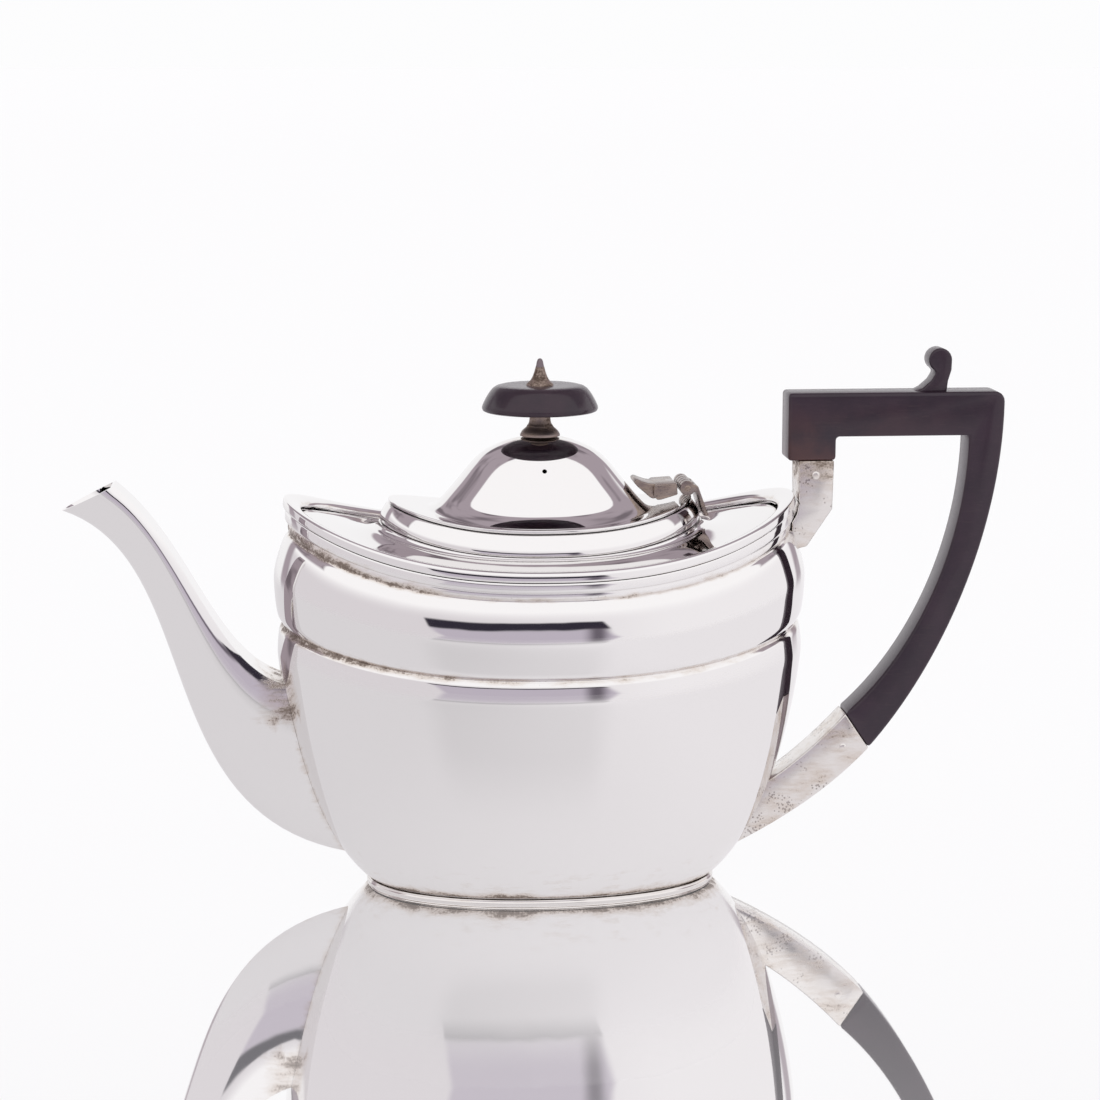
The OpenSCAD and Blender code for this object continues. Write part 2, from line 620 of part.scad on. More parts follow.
finial_line = [[0, stud_end_z], [stud_r, stud_end_z], [stud_r, disc_top_z], [4, disc_top_z],
    [3.8, disc_top_z + 0.4], [2.6, disc_top_z + 1.6], [1.8, disc_top_z + 3.4],
    [1.3, disc_top_z + 5], [1.1, disc_top_z + 6.2], [0.9, disc_top_z + finial_h - 0.6],
    [0.4, disc_top_z + finial_h - 0.1], [0, disc_top_z + finial_h]];
washer_r = 4.4;
nut_r = 3.6;
module knob_ferrule() {
    color(worn_silver) turned(ferrule_line);
}
module knob_disc() {
    color(ebonised) turned(disc_line);
}
module finial_screw() {
    color(worn_silver) turned(finial_line);
}
module knob_washer() {
    color(worn_silver)
        turned([[bore_r, nut_top_z], [washer_r, nut_top_z], [washer_r, nut_top_z + washer_t],
            [bore_r, nut_top_z + washer_t]]);
}
module knob_nut() {
    color(worn_silver)
        difference() {
            translate([0, 0, nut_top_z - nut_h]) cylinder(r = nut_r, h = nut_h, $fn = 6);
            translate([0, 0, stud_end_z]) cylinder(r = bore_r, h = nut_h + 2, $fn = 32);
        }
}

lower_body();
upper_body();
base_plate();
foot_wire();
rim_border();
shoulder_plate();
lid_collar();
spout_near_half();
spout_far_half();
upper_socket();
lower_socket();
handle_grip();
handle_pin_upper();
handle_pin_lower();
lid_shell();
lid_bezel();
hinge_body_leaf();
hinge_lid_leaf();
hinge_pin();
knob_ferrule();
knob_disc();
finial_screw();
knob_washer();
knob_nut();
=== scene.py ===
"""Silver teapot: smooth sheet silver, ebonised wood, a glossy white table and a soft white tent."""
import math

import bmesh
import bpy
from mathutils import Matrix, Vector


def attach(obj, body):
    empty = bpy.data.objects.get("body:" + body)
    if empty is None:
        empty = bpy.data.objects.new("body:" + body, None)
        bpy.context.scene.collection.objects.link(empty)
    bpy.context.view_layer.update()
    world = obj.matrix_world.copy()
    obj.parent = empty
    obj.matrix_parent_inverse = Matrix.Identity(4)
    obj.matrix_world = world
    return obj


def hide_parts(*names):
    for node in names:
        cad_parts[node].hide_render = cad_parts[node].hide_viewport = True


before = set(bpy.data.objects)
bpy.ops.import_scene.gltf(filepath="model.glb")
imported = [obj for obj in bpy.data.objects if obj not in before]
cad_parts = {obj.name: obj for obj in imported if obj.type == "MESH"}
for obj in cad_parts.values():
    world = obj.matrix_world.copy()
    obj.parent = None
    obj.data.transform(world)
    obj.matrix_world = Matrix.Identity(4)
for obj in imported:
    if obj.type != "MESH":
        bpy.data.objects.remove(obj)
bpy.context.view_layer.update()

MM = 0.001

# ---------------------------------------------------------------- camera
PICTURE_SIDE = 1100  # pixels
FOCAL_PX = 2847
SENSOR_MM = 36
CAMERA_AT = Vector((-69.0, -829.2, 243.9)) * MM
CAMERA_YAW = math.radians(4.96)
CAMERA_PITCH = math.radians(9.85)
CLIP_START = 0.05


def make_camera():
    data = bpy.data.cameras.new("studio_camera")
    data.sensor_width = SENSOR_MM
    data.lens = FOCAL_PX / PICTURE_SIDE * SENSOR_MM
    data.clip_start = CLIP_START
    camera = bpy.data.objects.new("studio_camera", data)
    camera.rotation_euler = (math.pi / 2 - CAMERA_PITCH, 0, -CAMERA_YAW)
    camera.location = CAMERA_AT
    bpy.context.scene.collection.objects.link(camera)
    bpy.context.scene.camera = camera


make_camera()

# ---------------------------------------------------------------- sizes, in millimetres
# LEN is half of a length along X, DEPTH half of a depth along Y, Z a height above the table,
# and H a height above whatever carries the part. A RATIO is depth over length.
FOOT_LEN = 51.5
WAIST_LEN = 78.0
BULGE_LEN = 78.8
NECK_LEN = 74.0
FOOT_H = 1.6
GIRDLE_Z = 70.3
NECK_Z = 93.4
WALL_TOP_Z = 98.6
FOOT_RATIO = 0.62
RIM_RATIO = 0.665
LID_RATIO = 0.66
WALL = 1.0

BORDER_W = 5.4
BORDER_OVERHANG = 1.8
BORDER_H = 3.0
RIM_TOP_Z = WALL_TOP_Z + BORDER_H
BORDER_LEN = NECK_LEN + BORDER_OVERHANG
BORDER_DEPTH = BORDER_LEN * RIM_RATIO
BORDER_IN = BORDER_LEN - BORDER_W

SHOULDER_H = 0.8
COVE_H = 3.2
COLLAR_LEN = 47.4
COLLAR_LEAN = 2.4
COLLAR_H = 6.2
SHOULDER_Z = WALL_TOP_Z + SHOULDER_H
COLLAR_Z = SHOULDER_Z + COVE_H
COLLAR_TOP_Z = COLLAR_Z + COLLAR_H

LID_FIT = 0.2
LID_SEAM = 0.3
LEDGE_H = 1.0
LID_LEN = COLLAR_LEN - COLLAR_LEAN - LID_FIT
LID_Z = COLLAR_TOP_Z + LID_SEAM
LEDGE_Z = LID_Z + LEDGE_H
DOME_LEN = 33.0
DOME_DEPTH = 27.6
DOME_H = 23.6
DOME_TOP_Z = LEDGE_Z + DOME_H

# the plan is a superellipse, and its level lines rise towards both ends
PLAN_POWER = 2.15
SWEEP_POWER = 2.5
GIRDLE_RISE = 8.8
RIM_RISE = 15.2
COLLAR_RISE = 6.6
GIRDLE_SWEEP = GIRDLE_RISE / WAIST_LEN**SWEEP_POWER
RIM_SWEEP = RIM_RISE / BORDER_LEN**SWEEP_POWER
COLLAR_SWEEP = COLLAR_RISE / COLLAR_LEN**SWEEP_POWER

AROUND = 128  # points round the oval plan
ROD_SIDES = 32
DRILL_SIDES = 24
SMOOTH_ANGLE = 40
LEVEL_TRIES = 8


def share(z, low, high):
    """How far z has gone from low to high, from 0 to 1."""
    return min(1, max(0, (z - low) / (high - low)))


def bell(x, width):
    return math.exp(-(x / width) ** 2)


def steps(n, low=0.0, high=1.0):
    return [low + (high - low) * i / n for i in range(n + 1)]


def bezier(p, t):
    a, b, c, d = ((1 - t) ** 3, 3 * (1 - t) ** 2 * t, 3 * (1 - t) * t * t, t**3)
    return tuple(a * p[0][k] + b * p[1][k] + c * p[2][k] + d * p[3][k] for k in range(len(p[0])))


def sweep(z):
    """How steeply the level line at height z on the side rises towards the ends."""
    if z < GIRDLE_Z:
        return GIRDLE_SWEEP * share(z, 0, GIRDLE_Z) ** 2
    return (GIRDLE_SWEEP + (RIM_SWEEP - GIRDLE_SWEEP) * share(z, GIRDLE_Z, WALL_TOP_Z)
            + (COLLAR_SWEEP - RIM_SWEEP) * share(z, RIM_TOP_Z, COLLAR_Z))


def swept(x, z):
    return z + sweep(z) * abs(x) ** SWEEP_POWER


def level(x, z):
    """Height on the side of the level line that passes through x, z."""
    base = z
    for _ in range(LEVEL_TRIES):
        base = (base + z - sweep(base) * abs(x) ** SWEEP_POWER) / 2
    return base


def ratio(z):
    return FOOT_RATIO + (RIM_RATIO - FOOT_RATIO) * share(z, 0, WALL_TOP_Z)


def plan_share(p, a, b):
    """1 on an oval of half-length a and half-depth b, less inside it."""
    return (abs(p[0] / a) ** PLAN_POWER + abs(p[1] / b) ** PLAN_POWER) ** (1 / PLAN_POWER)


def parallel_rows(length, depth_ratio, pairs):
    """Rows at an even distance from one oval: each pair is a half-length and a height."""
    return [(a, length * depth_ratio - (length - a), z) for a, z in pairs]


def inset(rows, t):
    """The rows moved inwards by a wall's thickness."""
    out = []
    for i, (a, b, z) in enumerate(rows):
        low, high = rows[max(i - 1, 0)], rows[min(i + 1, len(rows) - 1)]
        da, dz = high[0] - low[0], high[2] - low[2]
        size = math.hypot(da, dz)
        out.append((a - t * dz / size, b - t * dz / size, z + t * da / size))
    return out


# ---------------------------------------------------------------- modelling helpers
def pick(obj):
    bpy.ops.object.select_all(action="DESELECT")
    bpy.context.view_layer.objects.active = obj
    obj.select_set(True)


def named(name):
    obj = bpy.context.active_object
    obj.name = name
    obj.data.name = name
    return obj


def place_points(mesh, order, ring):
    for i, point in zip(order, ring):
        mesh.verts[i].co = Vector(point) * MM


def pull_rings(name, rings, closed=False, caps=False):
    """Pulls a shape out of one circle: each new ring is extruded, then set to its place."""
    bpy.ops.object.select_all(action="DESELECT")
    count = len(rings[0])
    bpy.ops.mesh.primitive_circle_add(vertices=count, radius=1)
    obj = named(name)
    bpy.ops.object.mode_set(mode="EDIT")
    mesh = bmesh.from_edit_mesh(obj.data)
    mesh.verts.ensure_lookup_table()
    order = list(range(count))
    place_points(mesh, order, rings[0])
    for ring in rings[1:]:
        bmesh.update_edit_mesh(obj.data)
        bpy.ops.mesh.extrude_edges_move()
        mesh = bmesh.from_edit_mesh(obj.data)
        mesh.verts.ensure_lookup_table()
        before = set(order)
        follow = {}
        for v in mesh.verts:
            if v.select:
                for e in v.link_edges:
                    other = e.other_vert(v).index
                    if other in before and not e.select:
                        follow[other] = v.index
        order = [follow[i] for i in order]
        place_points(mesh, order, ring)
    bmesh.update_edit_mesh(obj.data)
    if caps:
        bpy.ops.mesh.edge_face_add()
        mesh = bmesh.from_edit_mesh(obj.data)
        bpy.ops.mesh.select_all(action="DESELECT")
        mesh.verts.ensure_lookup_table()
        for i in range(count):
            mesh.verts[i].select = True
        mesh.select_flush(True)
        bmesh.update_edit_mesh(obj.data)
        bpy.ops.mesh.edge_face_add()
    bpy.ops.mesh.select_all(action="SELECT")
    if closed:
        bpy.ops.mesh.remove_doubles(threshold=1e-7)
    bpy.ops.mesh.normals_make_consistent(inside=False)
    bpy.ops.object.mode_set(mode="OBJECT")
    return obj


def put_modifier(obj, kind, **settings):
    modifier = obj.modifiers.new(kind.lower(), kind)
    for key, value in settings.items():
        setattr(modifier, key, value)
    pick(obj)
    bpy.ops.object.modifier_apply(modifier=modifier.name)


def smooth(obj, angle=SMOOTH_ANGLE):
    pick(obj)
    bpy.ops.object.shade_smooth_by_angle(angle=math.radians(angle))


def plan_power(v):
    return math.copysign(abs(v) ** (2 / PLAN_POWER), v)


def oval_ring(row):
    a, b, z = row
    ring = []
    for j in range(AROUND):
        t = 2 * math.pi * j / AROUND
        x = a * plan_power(math.cos(t))
        ring.append((x, b * plan_power(math.sin(t)), swept(x, z)))
    return ring


def oval_piece(name, rows):
    """A sheet or moulding wrapped round the oval plan, from a closed loop of rows."""
    obj = pull_rings(name, [oval_ring(r) for r in rows + rows[:1]], closed=True)
    put_modifier(obj, "SUBSURF", levels=1, render_levels=1)
    smooth(obj)
    return obj


def circle(radius, count):
    turns = [2 * math.pi * j / count for j in range(count)]
    return [(radius * math.cos(t), radius * math.sin(t)) for t in turns]


def turned_piece(name, profile, sides):
    """Turned on a lathe from [radius, height] points."""
    obj = pull_rings(name, [[(x, y, z) for x, y in circle(r, sides)] for r, z in profile], caps=True)
    smooth(obj)
    return obj


def rod_piece(name, profile, at):
    """A round rod along Y from [radius, y] points, at an X-Z place."""
    rings = [[(at[0] + u, y, at[1] + w) for u, w in circle(r, ROD_SIDES)] for r, y in profile]
    obj = pull_rings(name, rings, caps=True)
    smooth(obj)
    return obj


def cut_piece(name, outline, thickness, bevel, segments=3, y=0.0):
    """A flat outline in the X-Z plane, cut to a thickness across the pot, with its edges eased."""
    rings = [[(x, y + s * thickness / 2, z) for x, z in outline] for s in (-1, 1)]
    obj = pull_rings(name, rings, caps=True)
    put_modifier(obj, "BEVEL", width=bevel * MM, segments=segments, limit_method="ANGLE",
                 angle_limit=math.radians(SMOOTH_ANGLE))
    smooth(obj)
    return obj


def joined(name, pieces):
    bpy.ops.object.select_all(action="DESELECT")
    for piece in pieces:
        piece.select_set(True)
    bpy.context.view_layer.objects.active = pieces[0]
    if len(pieces) > 1:
        bpy.ops.object.join()
    return named(name)


def drill(obj, places, way, radius, length):
    """Cuts round holes with their middles at the places."""
    turn = Vector((0, 0, 1)).rotation_difference(Vector(way)).to_euler()
    tools = []
    for at in places:
        bpy.ops.object.select_all(action="DESELECT")
        bpy.ops.mesh.primitive_cylinder_add(vertices=DRILL_SIDES, radius=radius * MM, depth=length * MM,
                                            location=Vector(at) * MM, rotation=turn)
        tool = named("drill")
        tool.data.transform(tool.matrix_world)
        tool.matrix_world.identity()
        tools.append(tool)
    tool = joined("drills", tools)
    put_modifier(obj, "BOOLEAN", object=tool, operation="DIFFERENCE", solver="EXACT")
    bpy.data.objects.remove(tool, do_unlink=True)


def paint(obj, rule):
    """Stores how tarnished or worn each point is, from 0 to 1."""
    layer = obj.data.attributes.new("grime", "FLOAT", "POINT")
    values = [max(0.0, min(1.0, rule(v.co / MM))) for v in obj.data.vertices]
    layer.data.foreach_set("value", values)


def fit_piece(obj, body, nodes, material):
    """Gives a piece its material, puts it under the empty of its body, and hides the model's parts that
    it takes the place of.
    """
    obj.data.materials.clear()
    obj.data.materials.append(material)
    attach(obj, body)
    if nodes:
        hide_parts(*nodes)


# ---------------------------------------------------------------- materials
# colours are shares of red, green and blue
BRIGHT = (0.86, 0.845, 0.84)
FOOT_BRIGHT = (0.8, 0.77, 0.75)
SOCKET_BRIGHT = (0.78, 0.75, 0.73)
FERRULE_DARK = (0.21, 0.17, 0.185)
HINGE_DARK = (0.25, 0.205, 0.2)
VEIL_BROWN = (0.55, 0.43, 0.33)
CRUST_BROWN = (0.16, 0.115, 0.09)
PIT_BROWN = (0.22, 0.18, 0.17)
STAIN = (0.013, 0.006, 0.014)
STAIN_CLOUD = (0.023, 0.011, 0.022)
GRAIN_GREY = (0.05, 0.034, 0.036)
RUBBED_BROWN = (0.07, 0.026, 0.022)
SPECULAR_TINT = (1.0, 0.9, 0.98)
COAT_TINT = (1.0, 0.92, 0.98)
# scales of the patterns, in repeats to the metre
BLOTCH_SCALE = 260
GRAIN_SCALE = 1500
PATCH_SCALE = 130
HAZE_SCALE = 90
RIPPLE_SCALE = 45
PIT_SCALE = 1150
PIT_RADIUS = 0.27  # as a share of a cell
STREAK = (0.45, 1, 1.6)
WOOD_GRAIN_SCALE = 220
WOOD_CLOUD_SCALE = 70
WOOD_STREAK = (1, 6, 6)
# heights of the bumps, in metres
SILVER_BUMP = 0.0004
WOOD_BUMP = 0.0003


def link(tree, a, b):
    tree.links.new(a, b)


def add(tree, kind, **values):
    node = tree.nodes.new(kind)
    for key, value in values.items():
        setattr(node, key, value)
    return node


def put(node, **values):
    """Sets sockets of a node: an underscore in a name stands for a space."""
    for key, value in values.items():
        node.inputs[key.replace("_", " ")].default_value = value


def math_node(tree, operation, a, b=None, clamp=False):
    node = add(tree, "ShaderNodeMath", operation=operation, use_clamp=clamp)
    for socket, value in zip(node.inputs, (a, b)):
        if value is None:
            continue
        if isinstance(value, (int, float)):
            socket.default_value = value
        else:
            link(tree, value, socket)
    return node.outputs[0]


def plus(tree, a, b, clamp=False):
    return math_node(tree, "ADD", a, b, clamp)


def minus(tree, a, b, clamp=False):
    return math_node(tree, "SUBTRACT", a, b, clamp)


def times(tree, a, b):
    return math_node(tree, "MULTIPLY", a, b)


def mix_color(tree, factor, a, b):
    node = add(tree, "ShaderNodeMix", data_type="RGBA")
    for socket, value in ((node.inputs["Factor"], factor), (node.inputs[6], a), (node.inputs[7], b)):
        if isinstance(value, tuple):
            socket.default_value = (*value, 1)
        else:
            link(tree, value, socket)
    return node.outputs[2]


def noise(tree, vector, scale, detail=3.0, rough=0.55):
    node = add(tree, "ShaderNodeTexNoise")
    put(node, Scale=scale, Detail=detail, Roughness=rough)
    link(tree, vector, node.inputs["Vector"])
    return node.outputs["Fac"]


def ramp(tree, value, low, high):
    node = add(tree, "ShaderNodeMapRange", interpolation_type="SMOOTHSTEP")
    put(node, From_Min=low, From_Max=high)
    link(tree, value, node.inputs["Value"])
    return node.outputs["Result"]


def ramp_degrees(tree, value, low, high):
    return ramp(tree, value, math.radians(low), math.radians(high))


def stretched(tree, place, scale):
    node = add(tree, "ShaderNodeMapping")
    node.inputs["Scale"].default_value = scale
    link(tree, place, node.inputs["Vector"])
    return node.outputs[0]


def object_place(tree):
    return add(tree, "ShaderNodeTexCoord").outputs["Object"]


def make_silver_wear():
    """Tarnish where grime is painted, fine pits, and the soft ripple of hand-raised sheet."""
    tree = bpy.data.node_groups.new("silver_wear", "ShaderNodeTree")
    for name in ("Grime", "Pits", "Haze"):
        tree.interface.new_socket(name, in_out="INPUT", socket_type="NodeSocketFloat")
    tree.interface.new_socket("Bright", in_out="INPUT", socket_type="NodeSocketColor")
    for name, kind in (("Color", "NodeSocketColor"), ("Roughness", "NodeSocketFloat"),
                       ("Height", "NodeSocketFloat")):
        tree.interface.new_socket(name, in_out="OUTPUT", socket_type=kind)
    source = add(tree, "NodeGroupInput").outputs
    sink = add(tree, "NodeGroupOutput").inputs
    place = object_place(tree)
    streaks = stretched(tree, place, STREAK)
    blotch = minus(tree, noise(tree, streaks, BLOTCH_SCALE, 5, 0.62), 0.5)
    grain = minus(tree, noise(tree, place, GRAIN_SCALE, 3, 0.6), 0.5)
    # a thin veil spreads over the grimy parts, and a crust sits where there is most of it
    grime = source["Grime"]
    broken = plus(tree, grime, times(tree, blotch, 1.5))
    gate = ramp(tree, grime, 0.02, 0.25)
    veil = times(tree, ramp(tree, broken, 0.25, 1.0), gate)
    crust = times(tree, ramp(tree, plus(tree, broken, times(tree, grain, 0.9)), 0.72, 1.12), gate)
    # pits are the middles of cells, in patches
    cells = add(tree, "ShaderNodeTexVoronoi")
    put(cells, Scale=PIT_SCALE)
    link(tree, place, cells.inputs["Vector"])
    patches = ramp(tree, noise(tree, place, PATCH_SCALE), 0.42, 0.64)
    wanted = plus(tree, source["Pits"], times(tree, grime, 0.9))
    reach = times(tree, times(tree, wanted, patches), PIT_RADIUS)
    pit = math_node(tree, "LESS_THAN", cells.outputs["Distance"], reach)
    color = mix_color(tree, times(tree, veil, 0.55), source["Bright"], VEIL_BROWN)
    color = mix_color(tree, times(tree, crust, 0.8), color, CRUST_BROWN)
    color = mix_color(tree, times(tree, pit, 0.6), color, PIT_BROWN)
    rough = times(tree, noise(tree, streaks, HAZE_SCALE, 4), source["Haze"])
    rough = plus(tree, rough, times(tree, veil, 0.16))
    rough = plus(tree, rough, times(tree, crust, 0.3), clamp=True)
    height = plus(tree, noise(tree, place, RIPPLE_SCALE, 2), times(tree, plus(tree, crust, pit), -0.35))
    link(tree, color, sink["Color"])
    link(tree, rough, sink["Roughness"])
    link(tree, height, sink["Height"])
    return tree


SILVER_WEAR = make_silver_wear()


def principled(name):
    material = bpy.data.materials.new(name)
    material.use_nodes = True
    tree = material.node_tree
    return material, tree, tree.nodes["Principled BSDF"]


def put_bump(tree, shader, height, strength, distance):
    bump = add(tree, "ShaderNodeBump")
    put(bump, Strength=strength, Distance=distance)
    link(tree, height, bump.inputs["Height"])
    link(tree, bump.outputs["Normal"], shader.inputs["Normal"])


def silver(name, bright=BRIGHT, pits=0.0, haze=0.06, ripple=0.16):
    """Silver that mirrors what is round it, with its own share of pits, haze and ripple."""
    material, tree, shader = principled(name)
    put(shader, Metallic=1.0)
    wear = add(tree, "ShaderNodeGroup", node_tree=SILVER_WEAR)
    put(wear, Pits=pits, Haze=haze, Bright=(*bright, 1))
    grime = add(tree, "ShaderNodeAttribute", attribute_name="grime")
    link(tree, grime.outputs["Fac"], wear.inputs["Grime"])
    link(tree, wear.outputs["Color"], shader.inputs["Base Color"])
    link(tree, wear.outputs["Roughness"], shader.inputs["Roughness"])
    put_bump(tree, shader, wear.outputs["Height"], ripple, SILVER_BUMP)
    return material


def ebonised(name):
    """Black-stained wood: fine grain, a dull polish, and red-brown wear where hands rub it."""
    material, tree, shader = principled(name)
    place = object_place(tree)
    grain = noise(tree, stretched(tree, place, WOOD_STREAK), WOOD_GRAIN_SCALE, 6, 0.65)
    cloud = noise(tree, place, WOOD_CLOUD_SCALE, 4)
    worn = add(tree, "ShaderNodeAttribute", attribute_name="grime").outputs["Fac"]
    color = mix_color(tree, ramp(tree, cloud, 0.35, 0.7), STAIN, STAIN_CLOUD)
    color = mix_color(tree, times(tree, ramp(tree, grain, 0.5, 0.8), 0.3), color, GRAIN_GREY)
    color = mix_color(tree, times(tree, worn, ramp(tree, cloud, 0.3, 0.62)), color, RUBBED_BROWN)
    link(tree, color, shader.inputs["Base Color"])
    link(tree, plus(tree, times(tree, grain, 0.22), 0.3), shader.inputs["Roughness"])
    put(shader, Specular_IOR_Level=0.34, Specular_Tint=(*SPECULAR_TINT, 1))
    put(shader, Coat_Weight=0.5, Coat_Roughness=0.14, Coat_Tint=(*COAT_TINT, 1))
    put_bump(tree, shader, grain, 0.25, WOOD_BUMP)
    return material


BODY_SILVER = silver("body_silver")
FOOT_SILVER = silver("foot_silver", bright=FOOT_BRIGHT)
SPOUT_SILVER = silver("spout_silver")
SOCKET_SILVER = silver("socket_silver", bright=SOCKET_BRIGHT, pits=1.0, haze=0.3)
LID_SILVER = silver("lid_silver", ripple=0.3)
FERRULE_SILVER = silver("ferrule_silver", bright=FERRULE_DARK, haze=0.75)
HINGE_SILVER = silver("hinge_silver", bright=HINGE_DARK, haze=0.4, pits=0.8)
GRIP_WOOD = ebonised("grip_wood")
KNOB_WOOD = ebonised("knob_wood")

# ---------------------------------------------------------------- body
UPRIGHT_H = 7.6  # the upright part of the wall, under the girdle's groove
WAIST_Z = GIRDLE_Z - UPRIGHT_H
SIDE_LINE = [(FOOT_LEN, FOOT_H), (FOOT_LEN + 11.5, FOOT_H + 8.4),
             (WAIST_LEN - 3.8, WAIST_Z - 27), (WAIST_LEN, WAIST_Z)]
UPRIGHT_LEAN = 0.9
UPRIGHT_STEPS = (0.2, 0.4, 0.6, 0.75, 0.87)
GROOVE_IN = 1.7
GROOVE_STEP = 0.4
GROOVE_H = 0.6
GROOVE_LEN = WAIST_LEN - GROOVE_IN
# the step and the bead at the neck: outwards from the neck's length, and upwards from its height
NECK_BEADS = [(0, 0), (0.15, 0.08), (0.36, 0.3), (0.44, 0.7), (0.36, 1.5), (0.25, 1.9), (0.1, 2.1),
              (0.7, 2.25), (1.2, 2.5), (1.27, 2.8), (1.13, 3.9)]
STRAINER_Z = 36.0
STRAINER_PITCH = 5.4
STRAINER_R = 1.6
STRAINER_CUT = 28


def body_row(a, z):
    return (a, a * ratio(z), z)


def waist_row(inward, z):
    return (WAIST_LEN - inward, WAIST_LEN * ratio(WAIST_Z) - inward, z)


def body_profile():
    """Rows of half-length, half-depth and height up the outside of the wall."""
    rows = [body_row(*bezier(SIDE_LINE, t)) for t in steps(22)]
    rows += [waist_row(UPRIGHT_LEAN * t * t, WAIST_Z + UPRIGHT_H * t) for t in UPRIGHT_STEPS]
    rows += [waist_row(1.3, GIRDLE_Z - 0.25), waist_row(GROOVE_IN, GIRDLE_Z + 0.2),
             body_row(GROOVE_LEN + 0.25, GIRDLE_Z + 0.75)]
    bulge_root = GROOVE_LEN + GROOVE_STEP
    bulge = BULGE_LEN - GROOVE_LEN - GROOVE_STEP
    for angle in steps(18, -60, 84):
        s, c = math.sin(math.radians(angle)), math.cos(math.radians(angle))
        a = bulge_root + bulge * c
        a -= (bulge_root - NECK_LEN) * max(0, s)
        rows.append(body_row(a, GIRDLE_Z + GROOVE_H + (NECK_Z - GIRDLE_Z - 2 * GROOVE_H) * (1 + s) / 2))
    rows += [body_row(NECK_LEN + out, NECK_Z + up) for out, up in NECK_BEADS]
    rows.append(body_row(NECK_LEN + 1.0, WALL_TOP_Z))
    return rows


BODY_ROWS = body_profile()


def body_share(p):
    """1 on the skin of the body at the height of a point, less inside it."""
    z = level(p[0], p[2])
    a = BODY_ROWS[0][0]
    for low, high in zip(BODY_ROWS, BODY_ROWS[1:]):
        if low[2] <= z <= high[2]:
            a = low[0] + (high[0] - low[0]) * (z - low[2]) / (high[2] - low[2])
            break
    return plan_share(p, a, a * ratio(z))


def body_grime(p):
    """Tarnish in the groove, under the rim and above the foot, more of it towards the spout."""
    z = level(p.x, p.z)
    end = abs(p.x) / BULGE_LEN
    left = share(-p.x, 20, 70)
    groove = bell(z - GIRDLE_Z, 1.2) * (0.5 + 0.3 * left)
    groove += bell(z - GIRDLE_Z - 0.6, 2.4) * (0.14 + 0.2 * left)
    neck = bell(z - NECK_Z, 0.9) * (0.5 + 0.25 * left)
    neck += bell(z - NECK_Z - 1.2, 2) * (0.22 + 0.5 * left + 0.2 * end**3)
    foot = bell(z - FOOT_H, 1.8) * 0.8 + bell(z - FOOT_H, 13) * 0.3
    return max(groove, neck, foot)


def make_body():
    inner = [(a, b, min(z, WALL_TOP_Z)) for a, b, z in inset(BODY_ROWS, WALL)]
    obj = oval_piece("body_sheet", BODY_ROWS + inner[::-1])
    end = next(a for a, b, z in BODY_ROWS if z > STRAINER_Z)
    holes = [(-end, u * STRAINER_PITCH, STRAINER_Z + v * STRAINER_PITCH)
             for u in (-1, 0, 1) for v in (-2, -1, 0, 1, 2) if abs(u) + abs(v) < 3]
    drill(obj, holes, (1, 0, 0), STRAINER_R, STRAINER_CUT)
    smooth(obj)
    paint(obj, body_grime)
    fit_piece(obj, "pot", ["lower_body", "upper_body"], BODY_SILVER)


# ---------------------------------------------------------------- rim, shoulder, collar and foot
# the rim's section: outwards from its outer line, and upwards from the wall's top or from its own top
RIM_SIDE = [(-0.7, 0), (-0.3, 0.08), (-0.03, 0.3), (0, 0.6), (-0.12, 1.4)]
RIM_CROWN = [(-0.24, -0.9), (-0.36, -0.5), (-0.55, -0.27), (-0.85, -0.12), (-1.3, -0.03), (-1.9, 0),
             (-2.9, -0.06), (-3.9, -0.22), (-4.6, -0.45), (-5.05, -0.75), (-5.3, -1.1), (-BORDER_W, -1.5)]
# the shoulder's slope: outwards from the collar, and upwards from the shoulder's edge
SHOULDER_SLOPE = [(16, 0.1), (11, 0.28), (6.5, 1.06), (4.2, 1.75)]
SHOULDER_LAP = 0.02  # how far the shoulder's edge runs under the rim's border
COVE_FOOT_H = 2.3
COVE_OUT = 0.3
COVE_W = 2.3
COVE_RISE = 0.9
# the foot's section: inwards from its outer line, and heights above the table
FOOT_SECTION = [(0.25, 0), (0, 0.2), (0, 0.6), (0.35, 0.85), (0.3, 1.1), (0.45, 1.4), (0.8, FOOT_H),
                (3, FOOT_H), (3, 0)]
FOOT_OUT = FOOT_LEN + 0.8


def border_grime(p):
    z = level(p.x, p.z)
    if plan_share(p, BORDER_LEN - 3, BORDER_DEPTH - 3) < 1:
        return 0.62 * bell(z - RIM_TOP_Z + 1.0, 0.55)
    return 0.4 * bell(z - WALL_TOP_Z, 0.5)


def make_border():
    pairs = [(BORDER_LEN + out, WALL_TOP_Z + up) for out, up in RIM_SIDE]
    pairs += [(BORDER_LEN + out, RIM_TOP_Z + up) for out, up in RIM_CROWN]
    pairs.append((BORDER_LEN - BORDER_W, WALL_TOP_Z))
    obj = oval_piece("rim_moulding", parallel_rows(BORDER_LEN, RIM_RATIO, pairs))
    paint(obj, border_grime)
    fit_piece(obj, "pot", ["rim_border"], BODY_SILVER)


